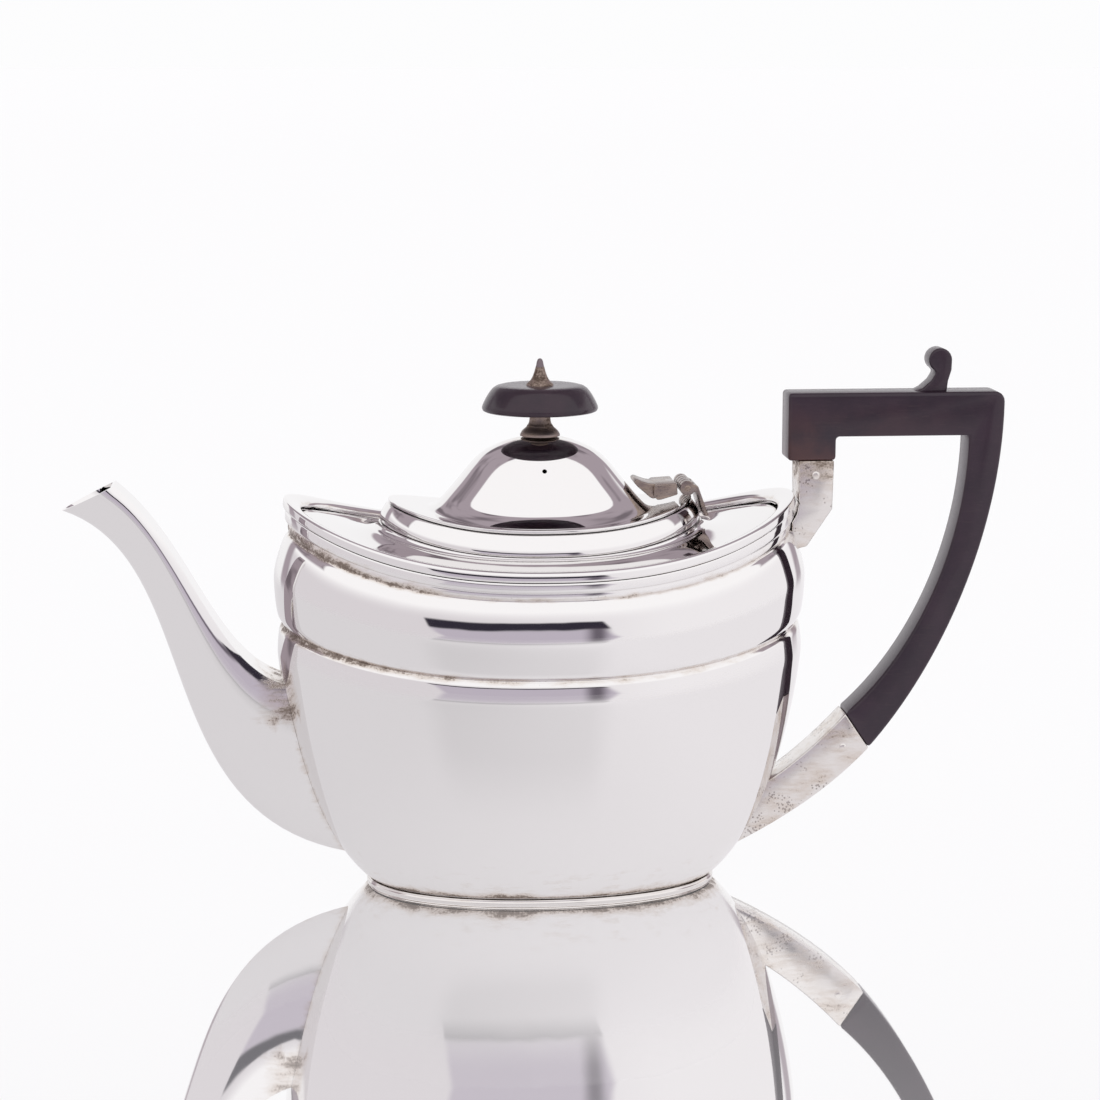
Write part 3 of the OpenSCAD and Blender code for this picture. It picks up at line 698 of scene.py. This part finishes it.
def make_shoulder():
    edge = parallel_rows(BORDER_LEN, RIM_RATIO, [(BORDER_IN + SHOULDER_LAP, SHOULDER_Z)])
    pairs = [(COLLAR_LEN + out, SHOULDER_Z + up) for out, up in SHOULDER_SLOPE]
    cove_z = SHOULDER_Z + COVE_FOOT_H
    for angle in steps(8, 0, 86):
        s, c = math.sin(math.radians(angle)), math.cos(math.radians(angle))
        pairs.append((COLLAR_LEN + COVE_OUT + COVE_W * (1 - s), cove_z + COVE_RISE * (1 - c)))
    pairs += [(COLLAR_LEN - WALL, COLLAR_Z), (COLLAR_LEN - WALL, cove_z - WALL)]
    rows = parallel_rows(COLLAR_LEN, RIM_RATIO, pairs)
    under = [(a, b, z - WALL) for a, b, z in rows[2::-1] + edge]
    obj = oval_piece("shoulder_sheet", edge + rows + under)
    paint(obj, lambda p: 0.8 * bell(1 - plan_share(p, BORDER_IN, BORDER_DEPTH - BORDER_W), 0.016))
    fit_piece(obj, "pot", ["shoulder_plate"], BODY_SILVER)


def make_collar():
    side = [(COLLAR_LEAN * t**1.8, COLLAR_Z + (COLLAR_TOP_Z - COLLAR_Z) * t) for t in steps(12)]
    pairs = [(COLLAR_LEN - lean, z) for lean, z in side]
    pairs += [(COLLAR_LEN - WALL - lean, z) for lean, z in side[::-1]]
    obj = oval_piece("collar_band", parallel_rows(COLLAR_LEN, RIM_RATIO, pairs))
    paint(obj, lambda p: 0.55 * bell(level(p.x, p.z) - COLLAR_Z, 0.35))
    fit_piece(obj, "pot", ["lid_collar"], BODY_SILVER)


def make_foot():
    pairs = [(FOOT_OUT - inward, z) for inward, z in FOOT_SECTION]
    obj = oval_piece("foot_moulding", parallel_rows(FOOT_OUT, FOOT_RATIO, pairs))
    paint(obj, lambda p: 0.5 * bell(p.z - 0.9, 0.25))
    fit_piece(obj, "pot", ["foot_wire"], FOOT_SILVER)


# ---------------------------------------------------------------- spout
LIP_X, LIP_Z = -140.0, 113.3
SPOUT_TOP_LINE = [(-70, 61), (-96, 62), (-101, 102), (LIP_X + 15.5, LIP_Z + 7.7)]
SPOUT_UNDER_LINE = [(-52, 7.5), (-120, 16), (-96.5, 98), (LIP_X, LIP_Z)]
SPOUT_MOUTH_HALF = 7.4
SPOUT_ROOT_HALF = 12
SPOUT_GROWTH = 1.6
SPOUT_EDGE_ANGLE = 32
UNDER_WALL = 1.3  # the wall is this many times as thick on the underside
# how full the sides are: a share of the half-width at the top, and more of it a little lower down
FLANK_TOP = 0.8
FLANK_GAIN = 0.17
FLANK_REACH = 0.24
FLANK_POWER = 0.7
ROOT_TRIES = 14
CROTCH_X = -76


def spout_point(t, v, side, inner):
    """A point at t from root to lip and v from top to underside, inner millimetres inside the skin."""
    u, w = Vector(bezier(SPOUT_TOP_LINE, t)), Vector(bezier(SPOUT_UNDER_LINE, t))
    d = (w - u).normalized()
    u, w = u + d * inner, w - d * inner * UNDER_WALL
    p = u + (w - u) * max(v, 0)
    if v < 0:
        return (p.x, 0, p.y)
    half = SPOUT_MOUTH_HALF + (SPOUT_ROOT_HALF - SPOUT_MOUTH_HALF) * (1 - t) ** SPOUT_GROWTH - inner
    flank = FLANK_TOP + FLANK_GAIN * share(v, 0, FLANK_REACH) ** FLANK_POWER
    return (p.x, side * half * math.sqrt(max(0, 1 - v * v)) * flank, p.y)


def root_t(v, side, inner):
    """Where along the spout it comes out of the body."""
    low, high = 0.0, 0.5
    for _ in range(ROOT_TRIES):
        mid = (low + high) / 2
        if body_share(spout_point(mid, v, side, inner)) < 1:
            low = mid
        else:
            high = mid
    return low


def spout_grime(p):
    root = bell(body_share(p) - 1, 0.018) * 0.62
    crotch = bell(p.x - CROTCH_X, 9) * (0.85 if p.z > 50 else 0.12)
    seam = 0.35 * bell(p.y, 0.6) if p.z < 60 else 0
    return max(root, crotch, seam)


def make_spout_half(side, name, node):
    # -1 is the seam along the top, and the rest run from beside it to the seam underneath
    places = [-1] + [1 - (1 - s) ** 1.35 for s in steps(14)]
    loops = []
    roots = [[root_t(v, side, inner) for v in places] for inner in (0, WALL)]
    for s in steps(40):
        skins = [[spout_point(roots[k][j] + (1 - roots[k][j]) * s, v, side, k * WALL)
                  for j, v in enumerate(places)] for k in (0, 1)]
        loops.append(skins[0] + skins[1][::-1])
    obj = pull_rings(name, loops, caps=True)
    smooth(obj, SPOUT_EDGE_ANGLE)
    paint(obj, spout_grime)
    fit_piece(obj, "pot", [node], SPOUT_SILVER)


# ---------------------------------------------------------------- handle
GRIP_REACH = 137.8
BAR_TOP = 146.0
BAR_DEPTH = 13.0
GRIP_FOOT = 126.0
GRIP_CORNER = 3.0
STUB_IN, STUB_OUT = 73.0, 87.3
GRIP_T = 12.6
GRIP_EASE = 1.1
SOCKET_T = 12.0
SOCKET_EASE = 0.5
OUTER_LINE = [(GRIP_REACH, BAR_TOP - 4), (GRIP_REACH - 0.3, 104), (121, 64), (98.8, 38.5)]
INNER_LINE = [(GRIP_REACH - 10.6, BAR_TOP - BAR_DEPTH), (127, 100), (113, 68), (91.6, 49.2)]
UPPER_SOCKET = [(76.2, GRIP_FOOT), (86.8, GRIP_FOOT), (86.5, 111.5), (79, 100.3), (74.6, 99.4),
                (74.4, 107.5), (75.9, 110.2), (76.4, 113)]
LOWER_SOCKET_BACK = [(98.8, 38.5), (88, 27), (75, 18), (58.6, 9.8)]
LOWER_SOCKET_END = [(59.2, 13.0), (63.0, 20.8), (66.9, 28.0)]
LOWER_SOCKET_FRONT = [(67.8, 28.6), (76, 34), (84, 41), (91.6, 49.2)]
SCROLL_TAIL = [(110.5, -0.5), (113.5, 1.0), (116.0, 3.2), (117.4, 5.6)]
SCROLL_BACK = [(122.0, 6.3), (121.0, 3.0), (120.6, -0.5)]
SCROLL_X = 118.6
SCROLL_H = 9.25
SCROLL_R = 3.5
SCROLL_T = GRIP_T * 0.62
SCROLL_EASE = 2.2


def make_grip():
    outline = [(STUB_IN, GRIP_FOOT), (STUB_IN, BAR_TOP)]
    for t in steps(5):
        angle = math.radians(90 - 90 * t)
        outline.append((GRIP_REACH - GRIP_CORNER + GRIP_CORNER * math.cos(angle),
                        BAR_TOP - GRIP_CORNER + GRIP_CORNER * math.sin(angle)))
    outline += [bezier(OUTER_LINE, t) for t in steps(32)]
    outline += [bezier(INNER_LINE, 1 - t) for t in steps(32)]
    outline += [(STUB_OUT, BAR_TOP - BAR_DEPTH), (STUB_OUT, GRIP_FOOT)]
    obj = cut_piece("grip_wood_bar", outline, GRIP_T, GRIP_EASE)
    paint(obj, lambda p: 0.9 * bell(p.z - GRIP_FOOT, 8) if p.x < 95 else 0.03)
    fit_piece(obj, "pot", ["handle_grip"], GRIP_WOOD)


def make_scroll():
    tail, back = ([(x, BAR_TOP + up) for x, up in line] for line in (SCROLL_TAIL, SCROLL_BACK))
    turns = [math.radians(angle) for angle in steps(14, 220, 0)]
    curl = [(SCROLL_X + SCROLL_R * math.cos(turn), BAR_TOP + SCROLL_H + SCROLL_R * math.sin(turn))
            for turn in turns]
    obj = cut_piece("thumb_scroll", tail + curl + back, SCROLL_T, SCROLL_EASE, segments=5)
    paint(obj, lambda p: 0.05)
    fit_piece(obj, "pot", [], GRIP_WOOD)


def upper_socket_grime(p):
    return 0.85 * bell(p.z - GRIP_FOOT, 6.5) + 0.45 * bell(p.z - 101, 3) + 0.24


def lower_socket_grime(p):
    end = bell(p.x - 68, 8)
    middle = bell((p - Vector((91, p.y, 41))).length, 8)
    return 0.28 + 0.3 * end + 0.42 * middle


def make_sockets():
    obj = cut_piece("upper_socket_tube", UPPER_SOCKET, SOCKET_T, SOCKET_EASE)
    paint(obj, upper_socket_grime)
    fit_piece(obj, "pot", ["upper_socket"], SOCKET_SILVER)
    lower = [INNER_LINE[3], OUTER_LINE[3]]
    lower += [bezier(LOWER_SOCKET_BACK, t) for t in steps(12)][1:]
    lower += LOWER_SOCKET_END
    lower += [bezier(LOWER_SOCKET_FRONT, t) for t in steps(10)][:-1]
    obj = cut_piece("lower_socket_tube", lower, SOCKET_T, SOCKET_EASE)
    paint(obj, lower_socket_grime)
    fit_piece(obj, "pot", ["lower_socket"], SOCKET_SILVER)


# ---------------------------------------------------------------- lid
LID_EDGE = [(LID_LEN - 0.1, LID_Z), (LID_LEN, LID_Z + 0.1), (LID_LEN, LEDGE_Z - 0.25),
            (LID_LEN - 0.07, LEDGE_Z - 0.07), (LID_LEN - 0.25, LEDGE_Z)]
# where the flat ledge runs into the dome: outwards from the dome's half-length and half-depth
LEDGE_STEPS = [(6, 1), (2, 0.6), (0.6, 0.25)]
# the bell of the dome: shares of its length, depth and height
DOME_STEPS = [(1, 1, 0), (0.955, 0.935, 0.032), (0.925, 0.87, 0.072), (0.898, 0.81, 0.118),
              (0.866, 0.773, 0.17), (0.815, 0.745, 0.262), (0.757, 0.713, 0.368), (0.7, 0.673, 0.474),
              (0.645, 0.622, 0.58), (0.585, 0.562, 0.686), (0.505, 0.485, 0.792), (0.405, 0.398, 0.876),
              (0.29, 0.292, 0.943), (0.175, 0.185, 0.98), (0.09, 0.1, 0.995)]
DOME_FOOT = 0.05  # the first row of the dome stands this far above the ledge
DOME_TIP = 1.0  # half the size of the last row, which closes the top
VENT_AT = (0.0, -DOME_DEPTH * 0.585, LEDGE_Z + DOME_H * 0.644)
VENT_WAY = (0, -0.866, 0.5)
VENT_R = 0.7
VENT_CUT = 8
# turned profiles: radius, and height above the dome for the ferrule, above the disc's foot or top
# for the disc, and above the disc's top for the finial
BORE_R = 1.6
STEM_H = 7.2
DISC_H = 7.8
FINIAL_H = 7.8
FERRULE_PROFILE = [(BORE_R, 0), (5.85, 0), (5.9, 0.3), (5.7, 0.8), (5.3, 1.45), (4.7, 2.0), (4.1, 2.5),
                   (3.85, 2.9), (3.8, 3.1), (3.55, 3.3), (3.3, 3.8), (3.12, 4.6), (3.05, 5.6),
                   (3.12, 6.6), (3.4, STEM_H), (BORE_R, STEM_H)]
DISC_SIDE = [(BORE_R, 0.1), (8.0, 0.15), (13.5, 0), (15.2, 0), (16.3, 0.12), (16.85, 0.4), (17.1, 1.0),
             (16.98, 1.7), (16.6, 2.6), (16.0, 3.8), (15.3, 5.0), (14.6, 6.0), (13.9, 6.8)]
DISC_CROWN = [(13.0, -0.4), (11.9, -0.1), (10.2, 0), (6.0, -0.1), (BORE_R, -0.1)]
FINIAL_PROFILE = [(1.5, -1), (4.0, -0.1), (3.9, 0.3), (3.2, 0.9), (2.6, 1.6), (2.1, 2.6), (1.75, 3.6),
                  (1.45, 4.6), (1.3, 5.2), (1.25, 5.35), (1.15, 5.6), (0.95, 6.7)]
FINIAL_TIP = [(0.7, -0.4), (0.3, -0.05)]
FINIAL_CLEAN_H = 5.3
DISC_Z = DOME_TOP_Z + STEM_H
DISC_TOP_Z = DISC_Z + DISC_H
FINIAL_TOP_Z = DISC_TOP_Z + FINIAL_H


def lid_grime(p):
    """Tarnish at the top of the dome, and on the side of the ledge away from the camera."""
    return max(0.6 * bell(p.z - DOME_TOP_Z, 2.8), 0.4 * bell(p.z - LEDGE_Z, 0.5) * share(p.y, 0, 10))


def make_lid():
    rows = parallel_rows(LID_LEN, LID_RATIO, LID_EDGE)
    rows += [(DOME_LEN + along, DOME_DEPTH + across, LEDGE_Z) for along, across in LEDGE_STEPS]
    rows += [(DOME_LEN * a, DOME_DEPTH * b, LEDGE_Z + DOME_FOOT + (DOME_H - DOME_FOOT) * h)
             for a, b, h in DOME_STEPS]
    rows.append((DOME_TIP, DOME_TIP, DOME_TOP_Z))
    under = inset(rows, WALL)[len(LID_EDGE):]
    obj = oval_piece("lid_sheet", rows + under[::-1])
    drill(obj, [VENT_AT], VENT_WAY, VENT_R, VENT_CUT)
    smooth(obj)
    paint(obj, lid_grime)
    fit_piece(obj, "lid", ["lid_shell"], LID_SILVER)


def raised(profile, z):
    return [(r, z + up) for r, up in profile]


def make_knob():
    obj = turned_piece("knob_ferrule_turned", raised(FERRULE_PROFILE, DOME_TOP_Z), 64)
    paint(obj, lambda p: 0.75)
    fit_piece(obj, "lid", ["knob_ferrule"], FERRULE_SILVER)
    disc = raised(DISC_SIDE, DISC_Z) + raised(DISC_CROWN, DISC_TOP_Z)
    obj = turned_piece("knob_disc_turned", disc, 96)
    paint(obj, lambda p: 0.1)
    fit_piece(obj, "lid", ["knob_disc"], KNOB_WOOD)
    finial = raised(FINIAL_PROFILE, DISC_TOP_Z) + raised(FINIAL_TIP, FINIAL_TOP_Z)
    obj = turned_piece("finial_turned", finial, 48)
    paint(obj, lambda p: 0.85 if p.z < DISC_TOP_Z + FINIAL_CLEAN_H else 0.0)
    fit_piece(obj, "lid", ["finial_screw"], FERRULE_SILVER)


# ---------------------------------------------------------------- hinge
PIN_IN = 1.9
PIN_H = 2.7
PIN_X = LID_LEN - PIN_IN
PIN_Z = swept(LID_LEN, LEDGE_Z) + PIN_H
KNUCKLE_R = 2.2
KNUCKLE_GAP = 0.12
HINGE_W = 16.0
HINGE_STEP = HINGE_W / 5
HINGE_EASE = 0.3
# outlines round the pin, in X and Z
TONGUE_OUTLINE = [(-3.4, 0.9), (-9.5, 1.0), (-11.2, 1.2), (-13.0, 1.8), (-14.3, 2.35), (-15.0, 2.4),
                  (-15.5, 1.95), (-15.4, 1.3), (-14.4, 0.2), (-12.4, -1.5), (-10.8, -2.9),
                  (-10.0, -3.3), (-9.0, -3.2), (-3.2, -2.0)]
TONGUE_W = 11.0
BLOCK_OUTLINE = [(-3.1, 1.25), (-3.5, 1.5), (-9.2, 1.15), (-9.8, 0.5), (-10.0, -2.2), (-8.9, -3.35),
                 (-7.8, -3.3), (-2.9, -1.85)]
BLOCK_W = 15.6
ARM_REACH = KNUCKLE_R + 0.7
ARM_OUTLINE = [(0, -1.2), (ARM_REACH, -1.2), (ARM_REACH, 0.7), (0, 1.7)]
# knuckle ends and rod ends: radius, and distance from the end
KNUCKLE_END = [(KNUCKLE_R - 0.3, 0), (KNUCKLE_R - 0.06, 0.06), (KNUCKLE_R, 0.25)]
ROD_END = [(0.3, 0), (0.55, 0.02), (0.62, 0.16), (0.8, 0.2), (0.9, 0.3)]
ROD_HALF = HINGE_W / 2 + 0.4


def both_ends(low, high, end):
    """Radius and Y along a rod from low to high, with the same shape at each end."""
    return [(r, low + y) for r, y in end] + [(r, high - y) for r, y in end[::-1]]


def make_knuckles(places):
    pieces = []
    for i in places:
        low = -HINGE_W / 2 + i * HINGE_STEP + KNUCKLE_GAP
        high = -HINGE_W / 2 + (i + 1) * HINGE_STEP - KNUCKLE_GAP
        pieces.append(rod_piece("knuckle", both_ends(low, high, KNUCKLE_END), (PIN_X, PIN_Z)))
    return pieces


def around_pin(points):
    return [(PIN_X + x, PIN_Z + z) for x, z in points]


def make_hinge():
    tongue = cut_piece("tongue", around_pin(TONGUE_OUTLINE), TONGUE_W, bevel=0.35)
    block = cut_piece("block", around_pin(BLOCK_OUTLINE), BLOCK_W, HINGE_EASE)
    leaf = joined("hinge_tongue", [tongue, block] + make_knuckles((1, 3)))
    smooth(leaf)
    paint(leaf, lambda p: 0.55)
    fit_piece(leaf, "lid", ["hinge_lid_leaf"], HINGE_SILVER)
    foot = (COLLAR_LEN + 0.4, swept(COLLAR_LEN, COLLAR_Z + 1))
    edge_x = PIN_X + KNUCKLE_R
    outline = [foot, (foot[0] + 1.5, foot[1]), (edge_x + 1.3, PIN_Z - 0.4),
               (edge_x + 1.0, PIN_Z + 0.5), (edge_x + 0.1, PIN_Z + 0.9)]
    plate = cut_piece("plate", outline, HINGE_W, HINGE_EASE)
    arms = []
    for i in (0, 2, 4):
        middle = -HINGE_W / 2 + (i + 0.5) * HINGE_W / 5
        arms.append(cut_piece("arm", around_pin(ARM_OUTLINE), HINGE_STEP - 0.3, bevel=0.15, y=middle))
    leaf = joined("hinge_plate", [plate] + arms + make_knuckles((0, 2, 4)))
    smooth(leaf)
    paint(leaf, lambda p: 0.5)
    fit_piece(leaf, "pot", ["hinge_body_leaf"], HINGE_SILVER)
    rod = rod_piece("hinge_rod", both_ends(-ROD_HALF, ROD_HALF, ROD_END), (PIN_X, PIN_Z))
    paint(rod, lambda p: 0.7)
    fit_piece(rod, "pot", ["hinge_pin"], HINGE_SILVER)


# ---------------------------------------------------------------- rivets through the sockets
RIVET_PROFILE = [(0.3, -6.3), (0.75, -6.26), (1.05, -6.16), (1.2, -6.0),
                 (1.2, 6.0), (1.05, 6.16), (0.75, 6.26), (0.3, 6.3)]
RIVETS = (("rivet_upper", "handle_pin_upper", (81.4, 121.6)),
          ("rivet_lower", "handle_pin_lower", (90.9, 38.8)))


def make_rivets():
    for name, node, at in RIVETS:
        rod = rod_piece(name, RIVET_PROFILE, at)
        paint(rod, lambda p: 0.45)
        fit_piece(rod, "pot", [node], SOCKET_SILVER)


make_body()
make_border()
make_shoulder()
make_collar()
make_foot()
make_spout_half(-1, "spout_near_sheet", "spout_near_half")
make_spout_half(1, "spout_far_sheet", "spout_far_half")
make_grip()
make_scroll()
make_sockets()
make_lid()
make_knob()
make_hinge()
make_rivets()

# ---------------------------------------------------------------- carried-over parts
for node, material in (("base_plate", FOOT_SILVER), ("lid_bezel", LID_SILVER),
                       ("knob_washer", LID_SILVER), ("knob_nut", LID_SILVER)):
    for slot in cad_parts[node].material_slots:
        slot.material = material

# ---------------------------------------------------------------- table and light
TABLE_SIZE = 120  # metres
TABLE_GLOW = (0.70, 0.685, 0.70)
TABLE_MATT = (0.18, 0.18, 0.185)
MIRROR_SEEN = 0.94  # how much the table mirrors at the lowest angle, straight to the camera
MIRROR_AGAIN = 0.9  # and as the silver sees it
# how much darker the glow of the table is painted in the strip before the pot, a painted reflection of
# the tent's opening
PAINTED_REFLECTION_DARK = 0.1
RIGHT_LIGHT = 0.2
FAR_LIGHT = 0.22
TENT_BACK = (0.42, 0.36, 0.4)
TENT_FOLDS = (0.1, 0.08, 0.095)
SHEET_LEFT = (0.78, 0.745, 0.775)
SHEET_RIGHT = (0.98, 0.96, 0.98)
SHEET_HIGH = (1.08, 1.07, 1.08)
BACKDROP = (0.99, 0.985, 0.995)
ROOM = (0.56, 0.51, 0.59)
EDGE_BLACK = (0.035, 0.03, 0.045)
STAND_DARK = (0.06, 0.045, 0.065)
PLAIN_WHITE = (0.981, 0.98, 0.986)
FOLD_SCALE = 2.2
FOLD_DARK = 0.7
OVERHEAD_SLOPE = 0.141
OPENING_LEAN = -0.46
STAND_STRENGTH = 0.8


def inverse(tree, a):
    return minus(tree, 1.0, a)


def camera_ray(tree):
    return add(tree, "ShaderNodeLightPath").outputs["Is Camera Ray"]


def split(tree, vector):
    axes = add(tree, "ShaderNodeSeparateXYZ")
    link(tree, vector, axes.inputs[0])
    return axes.outputs


def mix_shader(tree, weight, a, b, out):
    mixed = add(tree, "ShaderNodeMixShader")
    for socket, value in zip(mixed.inputs, (weight, a, b)):
        link(tree, value, socket)
    link(tree, mixed.outputs[0], out.inputs["Surface"])


def make_table():
    """A polished white table: a near mirror at the low angle of the camera, pale grey from above."""
    bpy.ops.object.select_all(action="DESELECT")
    bpy.ops.mesh.primitive_plane_add(size=TABLE_SIZE)
    table = named("table_sheet")
    material, tree, first_shader = principled("table_gloss")
    tree.nodes.remove(first_shader)
    glow = add(tree, "ShaderNodeEmission")
    put(glow, Color=(*TABLE_GLOW, 1))
    matt = add(tree, "ShaderNodeBsdfDiffuse")
    put(matt, Color=(*TABLE_MATT, 1))
    body = add(tree, "ShaderNodeAddShader")
    link(tree, glow.outputs[0], body.inputs[0])
    link(tree, matt.outputs[0], body.inputs[1])
    gloss = add(tree, "ShaderNodeBsdfGlossy")
    put(gloss, Color=(1, 1, 1, 1), Roughness=0.02)
    x, y = split(tree, object_place(tree))[:2]
    away = times(tree, y, -1.0)
    turn = math_node(tree, "ARCTAN2", x, away)
    seen = camera_ray(tree)
    unseen = inverse(tree, seen)
    # far out on the camera's side the table is plain white, so the back view has no dark mirror image
    plain = times(tree, ramp(tree, away, 0.3, 0.65), seen)
    # for the silver it is a mirror only at a very low angle, and otherwise plain
    facing = add(tree, "ShaderNodeLayerWeight").outputs["Facing"]
    direct = times(tree, times(tree, ramp(tree, facing, 0.2, 0.8), MIRROR_SEEN), seen)
    direct = times(tree, direct, inverse(tree, plain))
    again = times(tree, times(tree, ramp(tree, facing, 0.78, 0.97), MIRROR_AGAIN), unseen)
    # painted reflection: the glow of the strip of table before the pot is painted a little darker, as the
    # silver sees it, to stand in for the opening of the tent mirrored there
    painted_reflection_strip = minus(tree, ramp_degrees(tree, turn, -38, -26), ramp_degrees(tree, turn, 12, 22), clamp=True)
    near = minus(tree, ramp(tree, away, 0.06, 0.12), ramp(tree, away, 0.22, 0.4), clamp=True)
    painted_reflection_strip = times(tree, times(tree, times(tree, painted_reflection_strip, near), unseen), PAINTED_REFLECTION_DARK)
    # and its glow, as the silver sees it, is painted brighter towards the light on the right and a little
    # darker to the left
    lean = minus(tree, ramp(tree, x, -0.11, 0.13), 0.4)
    lean = times(tree, times(tree, lean, unseen), RIGHT_LIGHT)
    lean = plus(tree, lean, times(tree, plain, FAR_LIGHT))
    link(tree, plus(tree, inverse(tree, painted_reflection_strip), lean), glow.inputs["Strength"])
    mix_shader(tree, plus(tree, direct, again), body.outputs[0], gloss.outputs[0],
               tree.nodes["Material Output"])
    table.data.materials.append(material)


make_table()


def make_tent():
    """A white tent seen only in reflections, lit from above, with a dark room at its opening."""
    world = bpy.data.worlds.new("studio_tent")
    bpy.context.scene.world = world
    world.use_nodes = True
    tree = world.node_tree
    tree.nodes.remove(tree.nodes["Background"])
    way = add(tree, "ShaderNodeTexCoord").outputs["Generated"]
    x, y, z = split(tree, way)
    across = math_node(tree, "SQRT", plus(tree, times(tree, x, x), times(tree, y, y)))
    height = math_node(tree, "ARCTAN2", z, across)
    turn = math_node(tree, "ARCTAN2", x, times(tree, y, -1.0))

    def band(value, low, high, soft=0.6):
        """1 between two angles in degrees, with soft edges."""
        rise = ramp_degrees(tree, value, low - soft, low + soft)
        fall = ramp_degrees(tree, value, high - soft, high + soft)
        return minus(tree, rise, fall, clamp=True)

    # the back of the tent, with darker folds
    folds = ramp(tree, noise(tree, way, FOLD_SCALE, 2), 0.5, 0.68)
    color = mix_color(tree, times(tree, folds, FOLD_DARK), TENT_BACK, TENT_FOLDS)
    # the lit sheet over the camera's side, brighter high up and to the right
    sheet = mix_color(tree, ramp_degrees(tree, turn, -24, 40), SHEET_LEFT, SHEET_RIGHT)
    sheet = mix_color(tree, ramp_degrees(tree, height, 11, 22), sheet, SHEET_HIGH)
    over = ramp(tree, minus(tree, times(tree, z, OVERHEAD_SLOPE), y), 0.1, 0.16)
    low_down = inverse(tree, ramp_degrees(tree, height, 21, 27))
    flank = times(tree, low_down, inverse(tree, ramp(tree, y, 0.56, 0.64)))
    color = mix_color(tree, math_node(tree, "MAXIMUM", over, flank), color, sheet)
    # the white backdrop behind the pot
    drop = times(tree, ramp(tree, y, 0.74, 0.8), inverse(tree, ramp(tree, height, 0.38, 0.45)))
    color = mix_color(tree, drop, color, BACKDROP)
    # the opening for the camera: a dark room seen under a black edge, and a dark stand
    lean = minus(tree, turn, times(tree, height, OPENING_LEAN))
    room = times(tree, band(lean, -23.5, 20, 1.5), band(height, -3, 8, 1.2))
    color = mix_color(tree, room, color, ROOM)
    edge = times(tree, band(lean, -24, 21), band(height, 7.6, 11.6))
    color = mix_color(tree, edge, color, EDGE_BLACK)
    stand = times(tree, band(turn, 12, 16.5, 2), band(height, -3, 8.5, 1.5))
    color = mix_color(tree, times(tree, stand, STAND_STRENGTH), color, STAND_DARK)
    back = add(tree, "ShaderNodeBackground")
    link(tree, color, back.inputs["Color"])
    plain = add(tree, "ShaderNodeBackground")
    put(plain, Color=(*PLAIN_WHITE, 1))
    mix_shader(tree, camera_ray(tree), back.outputs[0], plain.outputs[0], tree.nodes["World Output"])


make_tent()
bpy.context.scene.view_settings.view_transform = "Standard"
